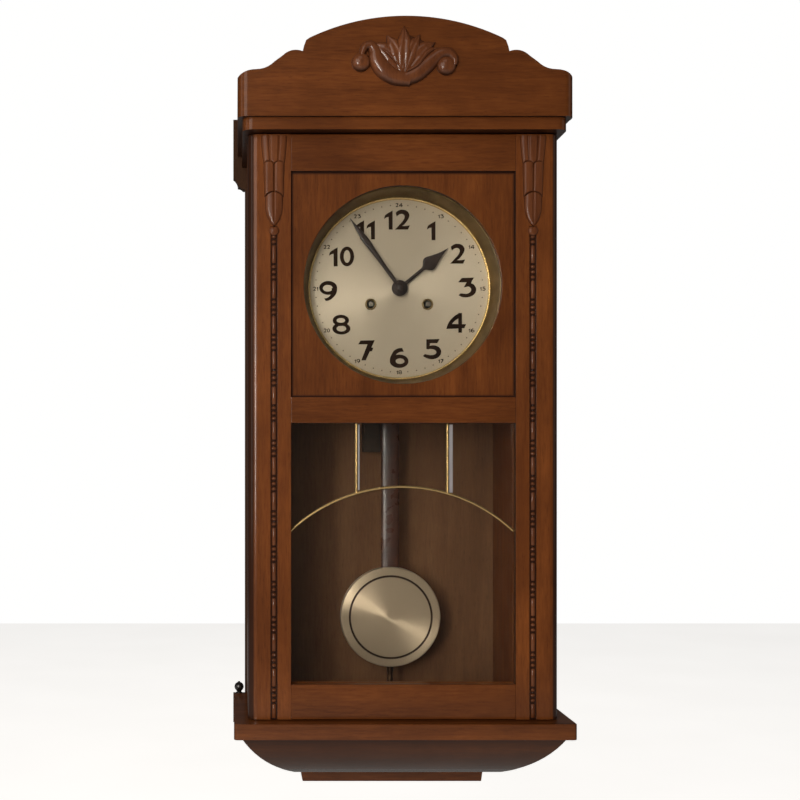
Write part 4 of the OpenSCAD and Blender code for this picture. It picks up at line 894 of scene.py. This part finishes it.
# The strokes of each digit and its width, in thousandths of its height
DIGITS = {
    "0": ([ring_stroke((358, 500, 358, 497), (358, 500, 165, 318))], 716),
    "1": ([stroke([235, 0, 225, 660], [430, 0, 430, 900]),
     stroke([0, 530, 72, 737, 430, 960], [0, 530, 150, 620, 430, 637])], 430),
    "2": ([stroke([36, 853, 198, 968, 378, 1000, 594, 946, 727, 770, 700, 590, 594, 410, 457, 241], [90, 655,
       216, 759, 349, 788, 457, 734, 486, 608, 396, 428, 216, 230, 18, 0], 28),
     stroke([0, 0, 300, 0, 658, 0], [200, 200, 500, 175, 755, 209])], 755),
    "3": ([stroke([190, 980, 810, 1000], [0, 763, 660, 760]),
     stroke([450, 800, 290, 505], [690, 780, 550, 560]),
     stroke([610, 735, 773, 664, 899, 495, 906, 314, 809, 152, 611, 36, 396, 0, 198, 25, 25, 105], [305, 505,
       468, 556, 600, 512, 659, 412, 630, 296, 521, 210, 378, 180, 234, 195, 108, 202], 32)], 906),
    "4": ([stroke([784, 990, 594, 950, 396, 827, 198, 626, 72, 414, 0, 187], [784, 800, 600, 709, 470, 630,
       353, 520, 290, 435, 200, 300], 22),
     stroke([0, 187, 906, 225], [200, 440, 1000, 430]),
     stroke([604, 0, 604, 990], [791, 0, 791, 990])], 1000),
    "5": ([stroke([169, 996, 845, 1018], [169, 800, 720, 810]),
     stroke([169, 1000, 169, 514], [396, 1000, 300, 490]),
     stroke([170, 560, 270, 647, 450, 694, 647, 680, 827, 586, 917, 414, 888, 234, 755, 83, 558, 7, 360, 4,
       162, 61, 0, 155], [180, 514, 270, 510, 360, 514, 529, 493, 637, 428, 673, 349, 630, 263, 529, 216, 396,
       205, 270, 219, 180, 241, 90, 259], 40)], 917),
    "6": ([ring_stroke((471, 338, 471, 338), (518, 342, 223, 137)),
     stroke([0, 360, 20, 520, 90, 680, 205, 863, 385, 975, 620, 1010], [280, 360, 270, 500, 277, 604, 367,
       720, 510, 800, 709, 820], 22)], 942),
    "7": ([stroke([126, 996, 838, 1014], [0, 806, 600, 806]), stroke([486, 850, 162, 0], [838, 1010, 385, 0]),
     stroke([500, 660, 766, 637], [400, 440, 700, 457])], 838),
    "8": ([ring_stroke((428, 712, 410, 284), (428, 712, 216, 117)),
     ring_stroke((455, 299, 455, 299), (455, 299, 243, 144))], 910),
    "9": ([ring_stroke((450, 658, 450, 350), (428, 640, 248, 167)),
     stroke([900, 660, 885, 470, 790, 270, 620, 100, 470, 20, 335, -7], [620, 660, 620, 450, 560, 300, 500,
       225, 400, 160, 245, 119], 22)], 900),
}


# How far each large numeral stands off its place on the circle, in millimetres
NUDGES = {1: (-2.2, -0.8), 2: (-0.8, 0.8), 3: (-0.5, 1.2), 4: (-2.2, 0.1), 5: (-1.3, -1.4), 6: (0, -1.0),
          7: (1.5, -2.6), 8: (1.5, -1.8), 9: (-2.6, -2.4), 10: (1.7, -2.0), 11: (0.3, 0), 12: (-2.2, 0.7)}


def write_number(surface, number, centre, height, y, raised):
    """Lays the strokes of a number flat on the dial, one digit beside the other."""
    gap = 0.115
    shapes = [DIGITS[c] for c in str(number)]
    total = sum(width / 1000 for _, width in shapes) + gap * (len(shapes) - 1)
    corner = np.array([centre[0] - total * height / 2, centre[1] - height / 2])
    for strokes, width in shapes:
        for i, (a, b) in enumerate(strokes):
            surface.grid(band(a * height + corner, b * height + corner, y, raised + 0.004 * i), caps=True)
        corner = corner + ((width / 1000 + gap) * height, 0)


@shown
class CLOCK_OT_dial(bpy.types.Operator):
    """Makes the silvered dial with its numerals, minute dots and winding holes, and the brass surround"""

    bl_idname = "clock.dial"
    bl_label = "Dial"

    def execute(self, context):
        centre = (DIAL[0], DIAL_Y, DIAL[2])
        self.face(centre)
        self.printing(centre)
        self.surround(centre)
        self.grommets()
        return {"FINISHED"}

    def face(self, centre):
        """A thin disc on a grid of radius and angle, open under the hands and the winding holes."""
        open_r = 5.0
        r = np.linspace(open_r, corners("dial_plate")[1][0], 64)
        face = Surface().grid(turned(np.stack([r, np.zeros(64)], 1), centre, 288))
        faces = np.array(face.faces)
        mids = np.concatenate(face.points)[faces].mean(1)
        keep = np.ones(len(faces), bool)
        for arbor in ARBORS:
            hole = middle(arbor)
            keep &= np.hypot(mids[:, 0] - hole[0], mids[:, 2] - hole[2]) > open_r
        face.faces = faces[keep].tolist()
        mesh = face.mesh("dial_face")
        round_uv(mesh, centre)
        piece = place("dial_face", mesh, "dial_silver", "case", "dial_metal", ("dial_plate",))
        if mesh.polygons[0].normal.y > 0:
            mesh.flip_normals()
        solid = piece.modifiers.new("thickness", "SOLIDIFY")
        solid.thickness = 1.4 * MM
        solid.offset = -1.0

    def printing(self, centre):
        """The large numerals, the small numerals and the dots, round the dial."""
        size = sizes()
        marks = Surface()

        def around(radius, degrees):
            """A place on a circle round the centre, clockwise from twelve."""
            a = radians(90 - degrees)
            return np.array([radius / MM * cos(a) + centre[0], radius / MM * sin(a) + centre[2]])

        for hour in range(1, 13):
            write_number(marks, hour, around(size.numeral_r, 30 * hour) + NUDGES[hour], size.numeral_h / MM,
                         DIAL_Y, 0.10)
            write_number(marks, hour + 12, around(size.small_r, 30 * hour), size.small_h / MM, DIAL_Y, 0.06)
        dot = size.dot_r / MM
        for minute in range(60):
            if minute % 5:
                x, z = around(size.small_r, 6 * minute)
                marks.grid(turned([(0, 0.06), (dot, 0.06), (dot, -0.02), (0, -0.02)], (x, DIAL_Y, z), 8))
        place("dial_numerals", marks, "numeral_paint", "case", "dark_metal")

    def surround(self, centre):
        """The brass surround: a flat flange, a cone and a round bead next to the dial."""
        (_, front, _), (outer, back, _) = corners("dial_bezel")
        deep = back - front
        lip = 101.4
        inner = 91.3
        bead = arc(inner + 1.35, 1.8, 1.35, 1.35, 0.5, pi, 12)
        cone = [(inner + 2.7 + (lip - 2 - inner - 2.7) * s ** 0.9, 3 + (deep - 3.2) * s)
                for s in np.linspace(1, 0, 8)]
        rim = arc(lip - 1, deep - 0.9, 0.9, 0.9, 0, pi, 9)
        profile = [(outer, 0), (outer, 1.5), (inner + 5.6, 1.7), (lip - 0.1, deep - 1.2), *rim, *cone,
                   (inner + 2.4, 0), (outer, 0)]
        flange = Surface().grid(turned(profile, centre, 192))
        place("dial_surround", flange, "surround_brass", "case", "old_brass", ("dial_bezel",), smooth=40)
        profile = [(inner + 2.4, 0), *bead, (inner, 0), (inner + 2.4, 0)]
        place("surround_bead", Surface().grid(turned(profile, centre, 192)), "brass_line", "case", "brass",
              smooth=60)

    def grommets(self):
        """A dark turned ring in each winding hole."""
        rings = Surface()
        profile = [(4.75, -1.5), (4.75, 0), (5.95, 0), *arc(4.95, 0.2, 1.0, 0.9, 0, pi, 10), (3.95, 0),
                   (3.95, -1.5), (4.75, -1.5)]
        for arbor in ARBORS:
            x, _, z = middle(arbor)
            rings.grid(turned(profile, (x, DIAL_Y, z), 48))
        place("winding_rings", rings, "surround_brass", "case", "brass", ("winding_grommets",), smooth=45)


def round_uv(mesh, centre):
    """A UV map named turning: U is the radius and V the angle round the centre, so U runs across the
    brushing."""
    corners = np.zeros(len(mesh.loops), int)
    mesh.loops.foreach_get("vertex_index", corners)
    points = np.zeros(len(mesh.vertices) * 3)
    mesh.vertices.foreach_get("co", points)
    points = points.reshape(-1, 3)[corners] / MM
    dx, dz = points[:, 0] - centre[0], points[:, 2] - centre[2]
    u = np.arctan2(dz, dx) / (2 * pi)
    starts = np.zeros(len(mesh.polygons), int)
    totals = np.zeros(len(mesh.polygons), int)
    mesh.polygons.foreach_get("loop_start", starts)
    mesh.polygons.foreach_get("loop_total", totals)
    owner = np.repeat(np.arange(len(starts)), totals)
    highest = np.full(len(starts), -9.0)
    np.maximum.at(highest, owner, u)
    u = np.where(highest[owner] - u > 0.5, u + 1, u)
    layer = mesh.uv_layers.new(name="turning")
    layer.data.foreach_set("uv", np.stack([np.hypot(dx, dz) / 100, u * 6], 1).ravel())


@shown
class CLOCK_OT_hands(bpy.types.Operator):
    """Makes the two hands with their hub and nut"""

    bl_idname = "clock.hands"
    bl_label = "Hands"

    def blade(self, node, length, turn, marks, widths, hub, body):
        """A flat blade whose width follows the marks along its length, with a round hub at the centre."""
        s = np.linspace(0.02, 1, 72)
        way = np.array([sin(turn), cos(turn)])
        path = (DIAL[0], DIAL[2]) + way * (s * length)[:, None]
        (_, front, _), (_, back, _) = corners(node)
        thick = back - front
        width = np.convolve(np.pad(np.interp(s, marks, widths), 2, mode="edge"), np.ones(5) / 5, "valid")
        width[-1] = 0.3
        hand = Surface().grid(strap(path, width, thick, back, power=5.0, cols=13, sink=0.0), caps=True)
        edge = arc(hub - 0.5, thick - 0.5, 0.5, 0.5, pi / 2, 0, 8)
        hand.grid(turned([(2.7, 0), (2.7, thick), *edge, (hub, 0), (2.7, 0)], (DIAL[0], back, DIAL[2]), 64))
        place(node + "_blade", hand, "hand_finish", body, "dark_metal", (node,), smooth=40)

    def execute(self, context):
        size = sizes()
        self.blade("minute_hand", size.minute_len / MM, size.minute_turn,
                   [0, 0.35, 0.55, 0.69, 0.80, 0.90, 1.0], [3.5, 4.2, 5.5, 7.0, 5.0, 2.8, 0.4], 5.4,
                   "centre_arbor")
        self.blade("hour_hand", size.hour_len / MM, size.hour_turn,
                   [0, 0.50, 0.53, 0.56, 0.60, 0.64, 0.70, 0.78, 0.88, 1.0],
                   [3.6, 3.4, 8.0, 13.0, 15.5, 15.0, 11.5, 7.4, 3.4, 0.4], 8.2, "hour_pipe")
        (_, front, _), (r, back, _) = corners("hand_nut")
        tall = back - front
        profile = [(0, 0), (r, 0), (r, 0.7), *arc(0, 0.7, r, tall - 0.7, 0.1, pi / 2, 12)]
        nut = Surface().grid(turned(profile, (DIAL[0], back, DIAL[2]), 48))
        place("hand_nut_dome", nut, "hand_finish", "centre_arbor", "dark_metal", ("hand_nut",), smooth=50)
        return {"FINISHED"}


@shown
class CLOCK_OT_window(bpy.types.Operator):
    """Makes the brass cames, the bevels of the upper panes and the glass"""

    bl_idname = "clock.window"
    bl_label = "Window"

    def execute(self, context):
        (_, front, _), (half, back, top) = corners("cames")
        centre_y = (front + back) / 2
        came_x, half_span, rise = 46.0, 112.5, 44.5
        radius = (half_span**2 + rise**2) / (2 * rise)
        peak = corners("bottom_rail")[1][2] + 153 + rise
        reach = asin(half / radius)
        a = np.linspace(-reach, reach, 72)
        brass = Surface()
        self.rod(brass, np.stack([radius * np.sin(a), peak - radius + radius * np.cos(a)], 1), centre_y)
        for x in (-came_x, came_x):
            z0 = peak - radius + sqrt(radius**2 - x**2)
            self.rod(brass, np.stack([np.full(12, x), np.linspace(z0, top, 12)], 1), centre_y)
        place("brass_cames", brass, "brass_line", "door", "brass", ("cames",), smooth=60)
        wide = sizes().pane_bevel / MM
        self.bevels(((-came_x, 0.4 * wide), (came_x, wide)), peak, radius, top)
        paint("window_glass", "window_panes", "dial_glass")
        return {"FINISHED"}

    def rod(self, surface, path, y):
        """A rod of oval section along a line: the section's points lie on an ellipse."""
        a = np.linspace(0, 2 * pi, 17)[:-1]
        across = np.broadcast_to(1.35 * np.cos(a), (len(path), 16))
        out = np.broadcast_to(2.2 * np.sin(a), (len(path), 16))
        surface.grid(carried(path, across, out, y), caps=True)

    def bevels(self, places, peak, radius, top):
        """A ground bevel to the right of each upright came: a wedge that falls from the pane towards it."""
        face = corners("window_panes")[0][1]
        strips = Surface()
        for x, wide in places:
            near = x + 1.7
            far = near + wide
            z = np.array([peak - radius + sqrt(radius**2 - far**2) + 2.4, top - 1])
            path = np.stack([np.full(2, (near + far) / 2), z], 1)
            across = np.array([[-wide / 2, -wide / 2, wide / 2, wide / 2]] * 2)
            out = np.array([[-0.02, 0.55, 0.03, -0.02]] * 2)
            strips.grid(carried(path, across, out, face), caps=True)
        # Their pale frosted finish is a painted reflection.
        place("pane_bevels", strips, "bevel_glass", "door", "clear_glass", (), smooth=5)


@shown
class CLOCK_OT_pendulum(bpy.types.Operator):
    """Makes the lacquered rod, the turned bob and its ferrule"""

    bl_idname = "clock.pendulum"
    bl_label = "Pendulum"

    def execute(self, context):
        (_, front, foot), (wide, back, top) = corners("pendulum_rod")
        a = np.linspace(0, 2 * pi, 49)[:-1]
        depth = (front + back) / 2 + (back - front) / 2 * np.sin(a)
        z = np.linspace(foot, top, 24)[:, None]
        rod = Surface().grid(np.stack(np.broadcast_arrays(wide * np.cos(a), depth, z), -1), caps=True)
        place("rod_lacquered", rod, "rod_lacquer", "pendulum", "rod_wood", ("pendulum_rod",), smooth=60)
        self.bob()
        return {"FINISHED"}

    def bob(self):
        """The bob: a flat face, a turned groove, a flat rim with a rounded edge and a domed back."""
        r = BOB_R
        cut = r * GROOVE_SHARE
        edge = arc(r - 1.6, 5.2, 1.6, 1.6, -0.2, 1.4, 8)
        groove = [(cut + 0.75, 7.2), (cut + 0.6, 7.0), (cut + 0.5, 6.3), (cut - 0.5, 6.3), (cut - 0.6, 7.1),
                  (cut - 0.75, 7.3)]
        dome = [(cut * s, 8.2 - 0.9 * s**2) for s in np.linspace(0.96, 0, 10)]
        back = [(0, -8.6), (r * 0.5, -8.0), (r * 0.9, -5.6), (r - 1, -4.6), (r, -3.6)]
        profile = [*back, *edge, *groove, *dome]
        mesh = Surface().grid(turned(profile, BOB, 192)).mesh("bob_disc")
        round_uv(mesh, BOB)
        place("bob_disc", mesh, "bob_brass", "bob", "brass", ("pendulum_bob",), smooth=25)
        low = corners("pendulum_bob")[0][2]
        tall = BOB[2] - BOB_R + 6 - low
        steps = [(1.8, 0), (3.0, 0), (3.25, 0.4), (3.25, tall * 0.3), (2.7, tall * 0.36), (2.7, tall * 0.5),
                 (3.25, tall * 0.56), (3.25, tall), (1.8, tall), (1.8, 0)]
        ferrule = Surface().grid(turned(steps, (0, BOB[1], low), 32, upright=True))
        place("bob_ferrule", ferrule, "dark_bronze", "bob", "brass", (), smooth=35)


@shown
class CLOCK_OT_metalwork(bpy.types.Operator):
    """Finishes the works, the gong, the hinge pins and the hanger"""

    bl_idname = "clock.metalwork"
    bl_label = "Works and fittings"

    def execute(self, context):
        paint("bright_brass", "door_catch", "hinge_pins", "rod_tip", "rating_nut", "plate_front",
              "plate_back", "plate_pillars", "suspension_cock", "time_barrel", "strike_barrel",
              "second_wheel", "centre_wheel", "third_wheel", "escape_wheel", "cannon_pinion",
              "minute_wheel", "hour_wheel", "pin_wheel", "fly")
        paint("arbor_steel", *ARBORS)
        paint("bare_steel", "hanger_plate", "hanger_screws", "gong_rods", "anchor", "suspension_spring",
              "hammer")
        paint("gong_iron", "gong_block")
        paint("wood_upright", "glazing_beads")
        return {"FINISHED"}


OPERATORS = (CLOCK_OT_stage, CLOCK_OT_boards, CLOCK_OT_crest_carving, CLOCK_OT_drops, CLOCK_OT_bead_strips,
             CLOCK_OT_finials, CLOCK_OT_dial, CLOCK_OT_hands, CLOCK_OT_window, CLOCK_OT_pendulum,
             CLOCK_OT_metalwork)


class CLOCK_PT_panel(bpy.types.Panel):
    """Lists the operators and the properties in the sidebar"""

    bl_label = "Regulator wall clock"
    bl_idname = "CLOCK_PT_panel"
    bl_space_type = "VIEW_3D"
    bl_region_type = "UI"
    bl_category = "Clock"

    def draw(self, context):
        for operator in OPERATORS:
            self.layout.operator(operator.bl_idname)
        for holder in (context.scene.clock_sizes, context.scene.clock_colours):
            for name in holder.__annotations__:
                self.layout.prop(holder, name)


CLASSES = (ClockSizes, ClockColours, *OPERATORS, CLOCK_PT_panel)


def register():
    for cls in CLASSES:
        bpy.utils.register_class(cls)
    bpy.types.Scene.clock_sizes = bpy.props.PointerProperty(type=ClockSizes)
    bpy.types.Scene.clock_colours = bpy.props.PointerProperty(type=ClockColours)


def unregister():
    del bpy.types.Scene.clock_colours
    del bpy.types.Scene.clock_sizes
    for cls in reversed(CLASSES):
        bpy.utils.unregister_class(cls)


def main():
    register()
    for operator in OPERATORS:
        family, name = operator.bl_idname.split(".")
        getattr(getattr(bpy.ops, family), name)()


if __name__ == "__main__":
    main()
